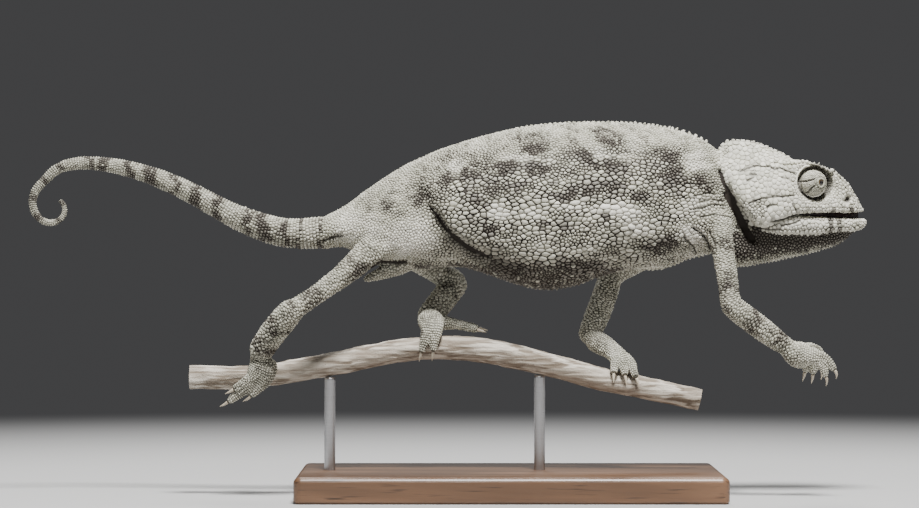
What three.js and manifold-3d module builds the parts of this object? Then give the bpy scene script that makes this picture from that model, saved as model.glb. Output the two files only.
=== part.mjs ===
// A common chameleon walking along a cut perch on a display stand: a still, life-size museum model.
// Millimetres, +Z up. The animal faces +X and its right side faces -Y.
// The origin is the middle of the stand's underside.
import * as THREE from "three";
import { mergeVertices } from "three/addons/utils/BufferGeometryUtils.js";
import Module from "manifold-3d";

const wasm = await Module();
wasm.setup();

// ---------------------------------------------------------------- driving sizes

const GAP = 0.3; // clear space between solids that meet
const radians = (degrees) => (degrees * Math.PI) / 180;

const BASE = { length: 114, depth: 70, height: 7, bevel: 1.2 };
const ROD = { radius: 1.5, sunk: 4, at: [-48.6, 8] };
const PERCH = {
  radius: 3.2,
  // centre line, X and Z, from the cut end behind the hind foot to the one below the raised hand
  line: [[-86.4, 32.1], [-70.2, 32.1], [-56.7, 34], [-43.2, 36.5], [-29.7, 39.2], [-18.9, 40], [-8.1, 39.4],
    [2.7, 37.3], [13.5, 34.6], [24.3, 31.6], [35.1, 29.4], [51.3, 25.9]],
};

// Ribs of the body, from the root of the tail to inside the back of the head. Each leans as the body
// does: ridge X, Z, keel X, Z, half width, height of the widest place, and how keeled it is above.
const BODY = [
  [-50.5, 75.3, -50.2, 66.5, 4.4, 0.5, 1],
  [-44.8, 78.2, -44, 66.9, 6.6, 0.48, 1.05],
  [-38.3, 83, -37, 62.6, 8.6, 0.47, 1.1],
  [-32.4, 87, -28, 61.2, 9.3, 0.46, 1.15],
  [-28, 89.6, -14.5, 61.7, 9.7, 0.46, 1.15],
  [-25, 91, -10, 61, 12.4, 0.46, 1.2],
  [-18, 94, -4, 59.1, 13.6, 0.46, 1.25],
  [-8, 97.1, 2, 57, 14.2, 0.46, 1.25],
  [2, 99.5, 9, 55.6, 14.5, 0.46, 1.25],
  [12, 100.7, 17, 56.5, 14.3, 0.46, 1.25],
  [22, 101.1, 25, 59.4, 13.7, 0.46, 1.25],
  [32, 100.8, 33, 61, 12.8, 0.45, 1.2],
  [41, 99.7, 41, 61.2, 11.6, 0.45, 1.15],
  [48.5, 97.8, 48.5, 64, 10, 0.45, 1.1],
  [54, 94.9, 55.5, 65.8, 8.2, 0.45, 1.05],
  [58.5, 91.5, 61, 67, 6.2, 0.45, 1],
  [63, 88, 66, 69, 4.8, 0.45, 1],
];
const PELVIS_ENDS = 4.5; // in ribs: where the groin crease parts pelvis from ribcage
const TRUNK_ENDS = 14.1; // in ribs: where the neck begins

// Ribs of the head, from the hind rim of the casque to the snout: crown X, Z, then half width and Z of
// the brow, the temple and the cheek, then X, half width and Z of the upper lip.
const HEAD = [
  [56.3, 93.6, 2, 90.8, 6.8, 85.4, 8.8, 80.4, 64.6, 7.4, 75],
  [59, 96.2, 3.1, 92, 7.5, 85.8, 9.4, 79.8, 66.4, 8.2, 73],
  [66.4, 95.5, 4.7, 91.4, 8.2, 86.2, 9.7, 79.4, 70.8, 8.8, 73.7],
  [73.6, 92.4, 5.6, 90, 7.9, 86, 9.3, 79.4, 76.6, 8.7, 76.2],
  [79.6, 89.1, 6.6, 90.3, 6.8, 85, 8.4, 79.4, 81.8, 7.8, 76.7],
  [85.6, 86.6, 5.8, 88.5, 5.9, 83.8, 6.9, 79.2, 87, 6.5, 76.7],
  [90.6, 83.2, 3.9, 84.4, 4.7, 81.6, 5.2, 78.8, 91.5, 4.9, 76.7],
  [94.1, 79, 1.7, 79.2, 2.2, 78.2, 2.6, 77.6, 94.4, 2.5, 76.7],
  [95.4, 77.5, 0.8, 77.5, 0.9, 77.3, 1, 77, 95.5, 0.9, 76.8],
];

// Ribs of the lower jaw and of the throat pouch: X, Z above, Z below, half width.
const JAW = [
  [67.6, 72.6, 71.6, 5], [70.5, 73.7, 70.9, 7.8], [76, 76, 70.4, 8.2], [82, 75.7, 70.5, 7.5],
  [88, 75.3, 71.3, 6], [92.5, 74.95, 71.4, 4.4], [95, 74.9, 72, 3], [96.1, 74.8, 73.2, 1.9],
];
const THROAT = [
  [54, 74, 65.6, 2.5], [57.5, 76, 63.2, 4.6], [62, 76, 61.8, 5.2], [69, 75, 62.9, 5], [76, 74, 64.3, 4.4],
  [82.5, 73.5, 65.9, 3.8], [88.5, 73.4, 67.8, 3], [92.6, 73.2, 70.9, 1.6],
];

// An eye turret: a ball of skin round its middle, and the lids' opening, which looks forward.
const TURRET = {
  x: 81, y: 6.1, z: 84.4, forward: 34, radius: 3.65, height: 4, opening: 1.1, ball: 1.6, steps: 5,
};
const TURRET_FOOT = radians(50); // how far below its widest ring the ball goes on into the head

// The tail: a few places along it as X, Y, Z, then a spiral curl in the plane of the body.
const TAIL_LINE = [[-50.6, 0, 71.1], [-57.8, 0.5, 70.8], [-64.3, 1, 71.8], [-74, 1.5, 75.4], [-86, 1.5, 81.7],
  [-96.7, 1, 86.4], [-108, 0.5, 89.3]];
const CURL = { x: -123.2, z: 77.6, start: 62, end: 415, inner: 2.2, outer: 5.8, decay: 130, steps: 16 };
const TAIL_RADII = [4.4, 4.1, 3.8, 3.3, 3, 2.8, 2.5, 2.2, 1.9, 1.5, 1.25, 1, 0.75];
const TAIL_PARTS = { tail_base: 0.19, tail_middle: 0.43, tail_end: 0.66, tail_curl: 1 };

// Legs: hip or shoulder, knee or elbow, ankle or wrist as X, Y, Z, the radii along each length, and how
// far forward the upper and the lower length bow.
const LEGS = {
  right_fore: {
    joints: [[55.5, -5.5, 74.5], [58.4, -15.5, 51.8], [74, -12.4, 40.2]],
    upper: [4.3, 3.3, 2.9, 2.9], lower: [3, 3.3, 3.1, 2.4], bow: [0.4, -0.2],
  },
  right_hind: {
    joints: [[-35.6, -4.5, 67.8], [-58, -16, 50.3], [-66.6, -8.8, 39.4]],
    upper: [5.2, 3.6, 2.7, 2.9], lower: [3.3, 3.7, 3.6, 3.4], bow: [1.3, -0.6],
  },
  left_fore: {
    joints: [[51, 5, 72], [27.8, 14.5, 59.4], [21.4, 5, 43.2]],
    upper: [4.2, 3.3, 3.1, 3.1], lower: [3.3, 3.5, 3.5, 3], bow: [0.4, 0.4],
  },
  left_hind: {
    joints: [[-35, 4.5, 70], [-14.6, 14.5, 57.3], [-22, 4.6, 48.2]],
    upper: [5.6, 4.3, 3.5, 3.3], lower: [3.4, 3.7, 3.6, 3.3], bow: [0.4, 0],
  },
};

const TOE = { root: 2.2, knuckle: 1.45, tip: 1.05, claw: 2.5, clawRoot: 0.5, clawTip: 0.12 };

// Bundles of toes that grip the perch: the leg, how many toes, the side of the perch (-1 is the right
// side), their place along it, how far apart they spread, how far their tips lean along it, and how many
// degrees round it they reach from its top.
const GRIPS = {
  right_hind_inner_toes:
    { leg: "right_hind", toes: 2, side: 1, x: -67.4, spread: 2.6, lean: -0.6, reach: 92, stout: 1.1 },
  left_hind_inner_toes:
    { leg: "left_hind", toes: 2, side: -1, x: -20.6, spread: 3.2, lean: -1.8, reach: 104, stout: 1.5 },
  left_fore_inner_toes:
    { leg: "left_fore", toes: 3, side: -1, x: 29.2, spread: 3.1, lean: 1.4, reach: 64, stout: 1.4 },
  left_fore_outer_toes:
    { leg: "left_fore", toes: 2, side: 1, x: 31, spread: 2.6, lean: 1, reach: 90, stout: 1 },
};

// Bundles that hang or are held in the air: palm, knuckle and the toes' tips as X, Y, Z, and the claws'
// way. The raised hand's heel is a thick pad from the wrist to the roots of its toes.
const OPEN_BUNDLES = {
  right_hind_outer_toes: {
    palm: [-65.9, -8.6, 37.8], knuckle: [-67.8, -7.9, 33.2],
    tips: [[-76, -5.4, 25.4], [-74.4, -6.8, 28.8], [-69.8, -7.2, 27]], claw: [-1, 0.2, -0.4], stout: 1.6,
  },
  right_fore_outer_toes: {
    palm: [76.5, -13.6, 38.4], knuckle: [82.2, -14.4, 36.8], tips: [[86.4, -14.4, 34.2], [84, -14.6, 32.4]],
    claw: [-0.3, 0.2, -1], stout: 1.15,
    heel: { path: [[72.6, -12.4, 41], [76, -12.4, 38.8], [80.6, -12.4, 37.2]], radii: [2, 3.7, 3.2] },
  },
  right_fore_inner_toes: {
    palm: [77, -10.6, 39.6], knuckle: [81.2, -8.8, 38.8],
    tips: [[78.9, -7.8, 33.4], [81.1, -7.4, 32.8], [83.6, -6.8, 33.8]], claw: [-0.35, -0.2, -1], stout: 1,
  },
  left_hind_outer_toes: {
    palm: [-20.6, 5.4, 46.8], knuckle: [-14.4, 3.4, 46.4],
    tips: [[-8.6, 0.2, 44.8], [-8.2, 2.2, 45.2], [-9, 4.2, 45]], claw: [1, 0, -0.3], stout: 1,
  },
};

const GROIN_FOLD = { from: [-26, -1, 63.6], to: [-39.6, -1.5, 58.2], radii: [2.7, 2.3, 0.9] };

// ---------------------------------------------------------------- colours

const finish = (color, roughness, metalness = 0) => ({ color, roughness, metalness });
const FINISH = {
  skin: finish(0xbdb9a4, 0.75),
  eye: finish(0x1a1410, 0.15),
  bark: finish(0xb9b0a0, 0.85),
  wood: finish(0x4a2f1e, 0.45),
  steel: finish(0xb8b8ba, 0.3, 1),
};

// ---------------------------------------------------------------- curves and lofts

const vector = ([x, y, z]) => new THREE.Vector3(x, y, z);

// Follows rows of numbers smoothly (Catmull-Rom); at is in rows, from 0 to the last one.
function follow(rows, at) {
  const last = rows.length - 1;
  const i = Math.min(Math.floor(at), last - 1);
  const t = at - i;
  const [a, b, c, d] = [-1, 0, 1, 2].map((step) => rows[THREE.MathUtils.clamp(i + step, 0, last)]);
  return b.map((_, n) => 0.5 * (2 * b[n] + (c[n] - a[n]) * t + (2 * a[n] - 5 * b[n] + 4 * c[n] - d[n]) * t * t
    + (3 * b[n] - a[n] - 3 * c[n] + d[n]) * t ** 3));
}

function solid(geometry) {
  geometry.deleteAttribute("normal");
  geometry.deleteAttribute("uv");
  const merged = mergeVertices(geometry, 1e-5);
  return new wasm.Manifold(new wasm.Mesh({
    numProp: 3,
    vertProperties: new Float32Array(merged.attributes.position.array),
    triVerts: new Uint32Array(merged.index.array),
  }));
}

// A closed loft on a cylinder's grid: place(u, angle, out) says where each point goes, u from 0 to 1
// along it, angle round it from its top towards +Y, and out 0 on its middle line and 1 on its wall.
function loft(rows, sides, place) {
  const grid = new THREE.CylinderGeometry(1, 1, 1, sides, rows);
  const points = grid.attributes.position;
  for (let i = 0; i < points.count; i += 1) {
    const across = points.getX(i);
    const up = points.getZ(i);
    const out = Math.hypot(across, up) > 0.5 ? 1 : 0;
    const at = place(0.5 - points.getY(i), Math.atan2(across, up), out);
    points.setXYZ(i, at.x, at.y, at.z);
  }
  return solid(grid);
}

// 0 at a rounded end and 1 beyond the length of its dome
const dome = (distance, length) => Math.sqrt(1 - (1 - Math.min(distance / length, 1)) ** 2);

// A round limb along a curve through points, with radii spread evenly along it. Its ends are domes,
// or flat where the end is named in flat.
function limb(points, radii, { rows = 9, sides = 9, from = 0, to = 1, grow = 0, flat = "" } = {}) {
  const curve = new THREE.CatmullRomCurve3(points.map(vector));
  const length = curve.getLength();
  const table = radii.map((radius) => [radius]);
  return loft(rows, sides, (v, angle, out) => {
    const eased = flat === "both" ? v : v - 0.11 * Math.sin(2 * Math.PI * v);
    const u = from + (to - from) * eased;
    const along = curve.getTangentAt(u);
    const side = new THREE.Vector3(0, 1, 0).addScaledVector(along, -along.y).normalize();
    const up = new THREE.Vector3().crossVectors(along, side);
    let radius = follow(table, u * (radii.length - 1))[0] + grow;
    if (!flat) radius *= Math.max(0.18, dome(u * length, radii[0]) * dome((1 - u) * length, radii.at(-1)));
    return curve.getPointAt(u)
      .addScaledVector(up, out * radius * Math.cos(angle))
      .addScaledVector(side, out * radius * Math.sin(angle));
  });
}

const push = (value, by) => Math.sign(value) * (Math.abs(value) + by);

// How far a grown loft's end caps move out along X: -1 at its first ring, 1 at its last.
const capWay = (u) => (u < 0.001 ? -1 : 0) + (u > 0.999 ? 1 : 0);

// ---------------------------------------------------------------- body

// A length of the body between two places counted in ribs.
function body(from, to, { rows = 12, sides = 20, grow = 0 } = {}) {
  return loft(rows, sides, (u, angle, out) => {
    const [ridgeX, ridgeZ, keelX, keelZ, half, wide, keeled] = follow(BODY, from + (to - from) * u);
    const cos = Math.cos(angle);
    const sin = Math.sin(angle);
    const height = wide + out * (cos > 0 ? (1 - wide) * cos : wide * cos);
    const width = half * Math.abs(sin) ** (cos > 0 ? keeled : 1) + grow * Math.abs(sin);
    return new THREE.Vector3(
      keelX + (ridgeX - keelX) * height + grow * capWay(u),
      out * Math.sign(sin) * width,
      keelZ + (ridgeZ - keelZ) * height + out * grow * cos,
    );
  });
}

// The whole body without its cuts, grown by the gap, to trim what meets it.
const wholeBody = () => body(0, BODY.length - 1, { rows: 34, grow: GAP });

// ---------------------------------------------------------------- head

function headRing(at, grow) {
  const [crownX, crownZ, browY, browZ, templeY, templeZ, cheekY, cheekZ, lipX, lipY, lipZ] = follow(HEAD, at);
  const lean = (z) => lipX + (crownX - lipX) * ((z - lipZ) / (crownZ - lipZ)) ** 0.6;
  const side = [[browY, browZ], [templeY, templeZ], [cheekY, cheekZ], [lipY, lipZ]];
  const middle = [crownX / 2 + lipX / 2, 0, crownZ / 2 + lipZ / 2];
  const ring = [
    [crownX, 0, crownZ],
    ...side.map(([y, z]) => [lean(z), y, z]),
    [lipX, 0, lipZ],
    ...side.reverse().map(([y, z]) => [lean(z), -y, z]),
  ].map(([x, y, z]) => new THREE.Vector3(x, push(y, y ? grow : 0), z + grow * Math.sign(z - middle[2])));
  return { curve: new THREE.CatmullRomCurve3(ring, true, "centripetal"), middle: vector(middle) };
}

function head({ rows = 18, sides = 22, grow = 0 } = {}) {
  return loft(rows, sides, (u, angle, out) => {
    const { curve, middle } = headRing(u * (HEAD.length - 1), grow);
    const at = out ? curve.getPoint((angle / (2 * Math.PI) + 1) % 1) : middle;
    return at.setX(at.x + grow * capWay(u));
  });
}

// A low box-like loft for the jaw and the throat: above and below are its Z, half its width.
function trough(ribs, { rows = 10, sides = 12, grow = 0, square = 0.75 } = {}) {
  return loft(rows, sides, (u, angle, out) => {
    const [x, above, below, half] = follow(ribs, u * (ribs.length - 1));
    const round = (value) => Math.sign(value) * Math.abs(value) ** square;
    return new THREE.Vector3(
      x + grow * capWay(u),
      out * (half + grow) * round(Math.sin(angle)),
      (above + below) / 2 + out * ((above - below) / 2 + grow) * round(Math.cos(angle)),
    );
  });
}

// An eye's cone of lid, turned to point out of the head and a little forward, and the eye in its opening.
function eyeFrame(side) {
  const turn = side > 0 ? 0 : Math.PI;
  const yaw = radians(TURRET.forward) * -side;
  return new THREE.Matrix4()
    .makeRotationZ(turn + yaw)
    .setPosition(TURRET.x, side * TURRET.y, TURRET.z);
}

function turret(side, grow = 0) {
  const radius = TURRET.radius + grow;
  const height = TURRET.height + grow;
  const foot = new THREE.Vector2(radius * Math.cos(TURRET_FOOT), -radius * Math.sin(TURRET_FOOT));
  const below = new THREE.Vector2(radius * Math.cos(TURRET_FOOT / 2), -radius * Math.sin(TURRET_FOOT / 2));
  const profile = [new THREE.Vector2(0, foot.y), foot, below];
  for (let step = 0; step <= TURRET.steps; step += 1) {
    const lift = Math.sin((step / TURRET.steps) * radians(90));
    const reach = Math.cos((step / TURRET.steps) * radians(90));
    profile.push(new THREE.Vector2(TURRET.opening + (radius - TURRET.opening) * reach ** 0.8, height * lift));
  }
  profile.push(new THREE.Vector2(0, height));
  return solid(new THREE.LatheGeometry(profile, 12).applyMatrix4(eyeFrame(side)));
}

function eye(side, grow = 0) {
  const seat = TURRET.height - TURRET.ball * 0.82;
  const ball = new THREE.SphereGeometry(TURRET.ball + grow, 8, 6).translate(0, seat, 0);
  return solid(ball.applyMatrix4(eyeFrame(side)));
}

// The opening of the lids, cut from the turret down to the ball.
function lidOpening(side) {
  const { opening, height } = TURRET;
  const hole = new THREE.CylinderGeometry(opening, opening, 2, 8).translate(0, height, 0);
  return solid(hole.applyMatrix4(eyeFrame(side)));
}

// ---------------------------------------------------------------- tail and legs

function tailPoints() {
  const curl = Array.from({ length: CURL.steps }, (_, step) => {
    const turned = CURL.start + ((CURL.end - CURL.start) * step) / (CURL.steps - 1);
    const spiral = CURL.inner + CURL.outer * Math.exp((105 - turned) / CURL.decay) * (turned < 105 ? 1.06 : 1);
    const reach = spiral * (1 + 0.28 * Math.max(0, (105 - turned) / 43));
    return [CURL.x + reach * Math.cos(radians(turned)), 0, CURL.z + reach * Math.sin(radians(turned))];
  });
  return [...TAIL_LINE, ...curl];
}

// A length of leg bows a little for its muscle, and its rounded ends reach past both joints.
function legLength(from, to, radii, bow, grow) {
  const start = vector(from);
  const end = vector(to);
  const middle = start.clone().lerp(end, 0.5).add(new THREE.Vector3(bow, 0, 0));
  const along = end.clone().sub(start).normalize();
  start.addScaledVector(along, -0.75 * radii[0]);
  end.addScaledVector(along, 0.75 * radii.at(-1));
  return limb([start, middle, end].map((point) => point.toArray()), radii, { grow });
}

const upperLeg = (leg, grow = 0) => legLength(leg.joints[0], leg.joints[1], leg.upper, leg.bow[0], grow);
const lowerLeg = (leg, grow = 0) => legLength(leg.joints[1], leg.joints[2], leg.lower, leg.bow[1], grow);

// ---------------------------------------------------------------- feet

function perchCurve() {
  return new THREE.CatmullRomCurve3(PERCH.line.map(([x, z]) => new THREE.Vector3(x, 0, z)));
}

// A point off the perch at X: angle degrees from its top towards side, and clear of its bark.
function offPerch(x, angle, side, clear) {
  const line = PERCH.line;
  const next = Math.max(1, line.findIndex(([lineX]) => lineX > x));
  const [[ax, az], [bx, bz]] = [line[next - 1], line[next]];
  const z = az + ((bz - az) * (x - ax)) / (bx - ax);
  const tilt = Math.atan2(bz - az, bx - ax);
  const reach = PERCH.radius + clear;
  const rise = reach * Math.cos(radians(angle));
  return [x - rise * Math.sin(tilt), side * reach * Math.sin(radians(angle)), z + rise * Math.cos(tilt)];
}

// A toe through points with its claw, which starts inside the tip and points along way.
function toe(points, way, stout, grow) {
  const { root, knuckle } = TOE;
  const radii = [root * 0.88 * stout, root * 0.95 * stout, knuckle * stout, knuckle * (0.45 + 0.4 * stout), TOE.tip];
  const flesh = limb(points, radii, { rows: 5, sides: 6, grow });
  const tip = vector(points.at(-1));
  const direction = vector(way).normalize();
  const claw = [0, 0.5, 1].map((part) => tip.clone().addScaledVector(direction, TOE.claw * part).toArray());
  const horn = limb(claw, [TOE.clawRoot, 0.45, TOE.clawTip], { rows: 2, sides: 4, flat: "both", grow });
  return flesh.add(horn);
}

const fused = (toes) => toes.reduce((whole, next) => whole.add(next));

function grip({ leg, toes, side, x, spread, lean, reach, stout }, grow = 0) {
  const ankle = LEGS[leg].joints[2];
  return fused(Array.from({ length: toes }, (_, i) => {
    const off = (i - (toes - 1) / 2) * spread;
    const at = (part, clear) => offPerch(
      x + off * (0.7 + 0.3 * part) + lean * part, reach * (0.25 + 0.75 * part), side, clear,
    );
    const end = at(1, TOE.tip + GAP);
    const points = [ankle, at(0, 0.9 * TOE.root * stout + 0.2), at(0.5, TOE.knuckle + GAP), end];
    const beyond = at(1.45, TOE.tip + GAP);
    return toe(points, beyond.map((value, n) => value - end[n] + (n === 2 ? -1.2 : 0)), stout, grow);
  }));
}

function openBundle({ palm, knuckle, tips, claw, stout, heel }, grow = 0) {
  const toes = tips.map((tip) => {
    const bend = knuckle.map((value, n) => value + 0.5 * (tip[n] - tips[Math.floor(tips.length / 2)][n]));
    return toe([palm, bend, tip], claw, stout, grow);
  });
  return fused(heel ? [...toes, limb(heel.path, heel.radii, { rows: 6, sides: 8, grow })] : toes);
}

// ---------------------------------------------------------------- stand

function perch(grow = 0) {
  return limb(perchCurve().points.map((point) => point.toArray()), [3.3, 3.1, 3.2, 3.15, 3.4, 3.2, 3.1, 3],
    { rows: 22, sides: 10, flat: "both", grow });
}

function standRod(x) {
  const top = offPerch(x, 180, 1, 0)[2] + 1.5;
  const bottom = BASE.height - ROD.sunk;
  const rod = new THREE.CylinderGeometry(ROD.radius, ROD.radius, top - bottom, 16);
  return solid(rod.rotateX(Math.PI / 2).translate(x, 0, (top + bottom) / 2));
}

function standBase() {
  const { length, depth, height, bevel } = BASE;
  const [x, y] = [length / 2 - bevel, depth / 2 - bevel];
  const plan = new THREE.Shape([[-x, -y], [x, -y], [x, y], [-x, y]].map(([px, py]) => new THREE.Vector2(px, py)));
  const slab = solid(new THREE.ExtrudeGeometry(plan, {
    depth: height - 2 * bevel, bevelThickness: bevel, bevelSize: bevel, bevelSegments: 2,
  }).translate(0, 0, bevel));
  return ROD.at.reduce((wood, x) => {
    const hole = new THREE.CylinderGeometry(ROD.radius + GAP, ROD.radius + GAP, ROD.sunk + GAP + 2, 16);
    const middle = height - ROD.sunk - GAP + (ROD.sunk + GAP + 2) / 2;
    return wood.subtract(solid(hole.rotateX(Math.PI / 2).translate(x, 0, middle)));
  }, slab);
}

// ---------------------------------------------------------------- the model

const model = new THREE.Group();

// Adds a sub-part's mesh. Where a cut leaves slivers, only the largest piece is kept.
function add(name, shape, { color, roughness, metalness }) {
  const [largest] = shape.decompose().sort((a, b) => b.volume() - a.volume());
  const { vertProperties, triVerts } = largest.getMesh();
  const geometry = new THREE.BufferGeometry();
  geometry.setAttribute("position", new THREE.BufferAttribute(new Float32Array(vertProperties), 3));
  geometry.setIndex(new THREE.BufferAttribute(new Uint32Array(triVerts), 1));
  const mesh = new THREE.Mesh(geometry, new THREE.MeshStandardMaterial({ color, roughness, metalness }));
  mesh.name = name;
  model.add(mesh);
}

const grownBody = wholeBody();
const grownHead = head({ grow: GAP });
const grownPerch = perch(GAP);
const cut = GAP / 12; // half a parting cut, in ribs

const fold = limb([GROIN_FOLD.from, GROIN_FOLD.to], GROIN_FOLD.radii, { rows: 6, sides: 8 });
add("pelvis", body(0, PELVIS_ENDS - cut, { rows: 8 }).add(fold), FINISH.skin);
add("trunk", body(PELVIS_ENDS + cut, TRUNK_ENDS - cut, { rows: 20 }), FINISH.skin);
add("neck", body(TRUNK_ENDS + cut, BODY.length - 1, { rows: 4 }).subtract(grownHead), FINISH.skin);

const sockets = [-1, 1].map((side) => turret(side, GAP));
add("head", sockets.reduce((skull, socket) => skull.subtract(socket), head()), FINISH.skin);
for (const [name, side] of [["right", -1], ["left", 1]]) {
  add(`${name}_eye_turret`, turret(side).subtract(eye(side, GAP)).subtract(lidOpening(side)), FINISH.skin);
  add(`${name}_eye`, eye(side), FINISH.eye);
}
add("lower_jaw", trough(JAW).subtract(grownHead).subtract(grownBody), FINISH.skin);
const throat = trough(THROAT, { square: 0.95 }).subtract(trough(JAW, { grow: GAP }));
const shoulders = [LEGS.right_fore, LEGS.left_fore].map((leg) => upperLeg(leg, GAP));
const throatTrims = [grownHead, grownBody, ...shoulders];
add("throat_pouch", throatTrims.reduce((pouch, trim) => pouch.subtract(trim), throat), FINISH.skin);

const tail = tailPoints();
let tailFrom = 0.0035;
for (const [name, to] of Object.entries(TAIL_PARTS)) {
  const part = { rows: name === "tail_curl" ? 18 : 7, from: tailFrom, to: to < 1 ? to - 0.0015 : 1 };
  add(name, limb(tail, TAIL_RADII, { ...part, flat: "both" }), FINISH.skin);
  tailFrom = to + 0.0015;
}

for (const [name, leg] of Object.entries(LEGS)) {
  add(`${name}_upper_leg`, upperLeg(leg).subtract(grownBody), FINISH.skin);
  add(`${name}_lower_leg`, lowerLeg(leg).subtract(upperLeg(leg, GAP)).subtract(grownBody), FINISH.skin);
}

const feet = [
  ...Object.entries(GRIPS).map(([name, bundle]) => [name, grip, bundle]),
  ...Object.entries(OPEN_BUNDLES).map(([name, bundle]) => [name, openBundle, bundle]),
];
const taken = {};
for (const [name, build, bundle] of feet) {
  const legName = name.split("_").slice(0, 2).join("_");
  const trims = [lowerLeg(LEGS[legName], GAP), grownPerch, ...(taken[legName] ?? [])];
  add(name, trims.reduce((toes, trim) => toes.subtract(trim), build(bundle)), FINISH.skin);
  taken[legName] = [build(bundle, GAP)];
}

add("perch_branch", perch(), FINISH.bark);
ROD.at.forEach((x, i) => {
  add(`stand_rod_${["rear", "front"][i]}`, standRod(x).subtract(grownPerch), FINISH.steel);
});
add("stand_base", standBase(), FINISH.wood);

export default model;
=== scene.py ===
"""A common chameleon walking along a cut perch, held on a wooden display stand by two steel rods.

Shapes are worked out in millimetres with numpy and become metres when a piece is made. The animal faces
+X and its right side faces -Y. Its flesh is one skin: closed lofts joined by a remesh and smoothed.
Its coat is thousands of solid scales. Each scale has a root on the skin and fills its share of the skin
between its neighbours' roots, less a narrow gap.
"""
import math

import bpy
import numpy as np
from mathutils.bvhtree import BVHTree
from mathutils.kdtree import KDTree
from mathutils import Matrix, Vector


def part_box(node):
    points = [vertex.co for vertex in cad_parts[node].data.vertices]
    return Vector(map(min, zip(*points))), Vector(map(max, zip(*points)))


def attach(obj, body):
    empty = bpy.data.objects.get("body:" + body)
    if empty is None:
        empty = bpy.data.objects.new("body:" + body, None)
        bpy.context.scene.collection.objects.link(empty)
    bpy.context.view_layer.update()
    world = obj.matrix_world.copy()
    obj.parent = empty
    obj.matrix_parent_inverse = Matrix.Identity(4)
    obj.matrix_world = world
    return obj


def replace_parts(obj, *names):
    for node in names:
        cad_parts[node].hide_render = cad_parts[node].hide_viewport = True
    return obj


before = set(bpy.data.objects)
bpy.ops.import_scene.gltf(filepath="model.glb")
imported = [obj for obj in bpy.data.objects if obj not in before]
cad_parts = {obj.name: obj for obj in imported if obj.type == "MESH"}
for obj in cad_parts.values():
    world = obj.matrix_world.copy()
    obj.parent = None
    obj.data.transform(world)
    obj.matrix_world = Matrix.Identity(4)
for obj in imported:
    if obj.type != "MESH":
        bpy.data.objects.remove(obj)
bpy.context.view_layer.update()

MM = 0.001
rng = np.random.default_rng(7)

# ---------------------------------------------------------------- camera

VIEW_DISTANCE = 1.0
VIEW_WIDTH = 0.2481
VIEW_CENTRE = (-0.0136, 0.0653)  # X and Z


def add_camera():
    """A long lens, level and square to the animal's right side."""
    data = bpy.data.cameras.new("camera")
    data.sensor_width = 36
    data.lens = data.sensor_width * VIEW_DISTANCE / VIEW_WIDTH
    camera = bpy.data.objects.new("camera", data)
    camera.location = (VIEW_CENTRE[0], -VIEW_DISTANCE, VIEW_CENTRE[1])
    camera.rotation_euler = (math.radians(90), 0, 0)
    bpy.context.collection.objects.link(camera)
    bpy.context.scene.camera = camera


add_camera()

# ---------------------------------------------------------------- sizes, in millimetres

COAT_DEPTH = 0.35  # from the skin to the tips of ordinary scales, which the CAD solids reach
VOXEL = 0.36
SKIN_TRIANGLES = 188000

# Ribs of the body: ridge X, Z, keel X, Z, half width, height of the widest place, and how keeled it is.
BODY = [
    [-50.5, 75.3, -50.2, 66.5, 4.4, 0.5, 1], [-44.8, 78.2, -44, 66.9, 6.6, 0.48, 1.05],
    [-38.3, 83, -37, 62.6, 8.6, 0.47, 1.1], [-32.4, 87, -28, 61.2, 9.3, 0.46, 1.15],
    [-28, 89.6, -14.5, 61.7, 9.7, 0.46, 1.15], [-25, 91, -10, 61, 12.4, 0.46, 1.2],
    [-18, 94, -4, 59.1, 13.6, 0.46, 1.25], [-8, 97.1, 2, 57, 14.2, 0.46, 1.25],
    [2, 99.5, 9, 55.6, 14.5, 0.46, 1.25], [12, 100.7, 17, 56.5, 14.3, 0.46, 1.25],
    [22, 101.1, 25, 59.4, 13.7, 0.46, 1.25], [32, 100.8, 33, 61, 12.8, 0.45, 1.2],
    [41, 99.7, 41, 61.2, 11.6, 0.45, 1.15], [48.5, 97.8, 48.5, 64, 10, 0.45, 1.1],
    [54, 94.9, 55.5, 65.8, 8.2, 0.45, 1.05], [58.5, 91.5, 61, 67, 6.2, 0.45, 1],
    [63, 88, 66, 69, 4.8, 0.45, 1],
]

# Ribs of the head: crown X, Z, then half width and Z of the brow, the temple and the cheek, then X,
# half width and Z of the upper lip.
HEAD = [
    [56.3, 93.6, 2, 90.8, 6.8, 85.4, 8.8, 80.4, 64.6, 7.4, 75],
    [59, 96.2, 3.1, 92, 7.5, 85.8, 9.4, 79.8, 66.4, 8.2, 73],
    [66.4, 95.5, 4.7, 91.4, 8.2, 86.2, 9.7, 79.4, 70.8, 8.8, 73.7],
    [73.6, 92.4, 5.6, 90, 7.9, 86, 9.3, 79.4, 76.6, 8.7, 76.2],
    [79.6, 89.1, 6.6, 90.3, 6.8, 85, 8.4, 79.4, 81.8, 7.8, 76.7],
    [85.6, 86.6, 5.8, 88.5, 5.9, 83.8, 6.9, 79.2, 87, 6.5, 76.7],
    [90.6, 83.2, 3.9, 84.4, 4.7, 81.6, 5.2, 78.8, 91.5, 4.9, 76.7],
    [94.1, 79, 1.7, 79.2, 2.2, 78.2, 2.6, 77.6, 94.4, 2.5, 76.7],
    [95.4, 77.5, 0.8, 77.5, 0.9, 77.3, 1, 77, 95.5, 0.9, 76.8],
]

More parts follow.
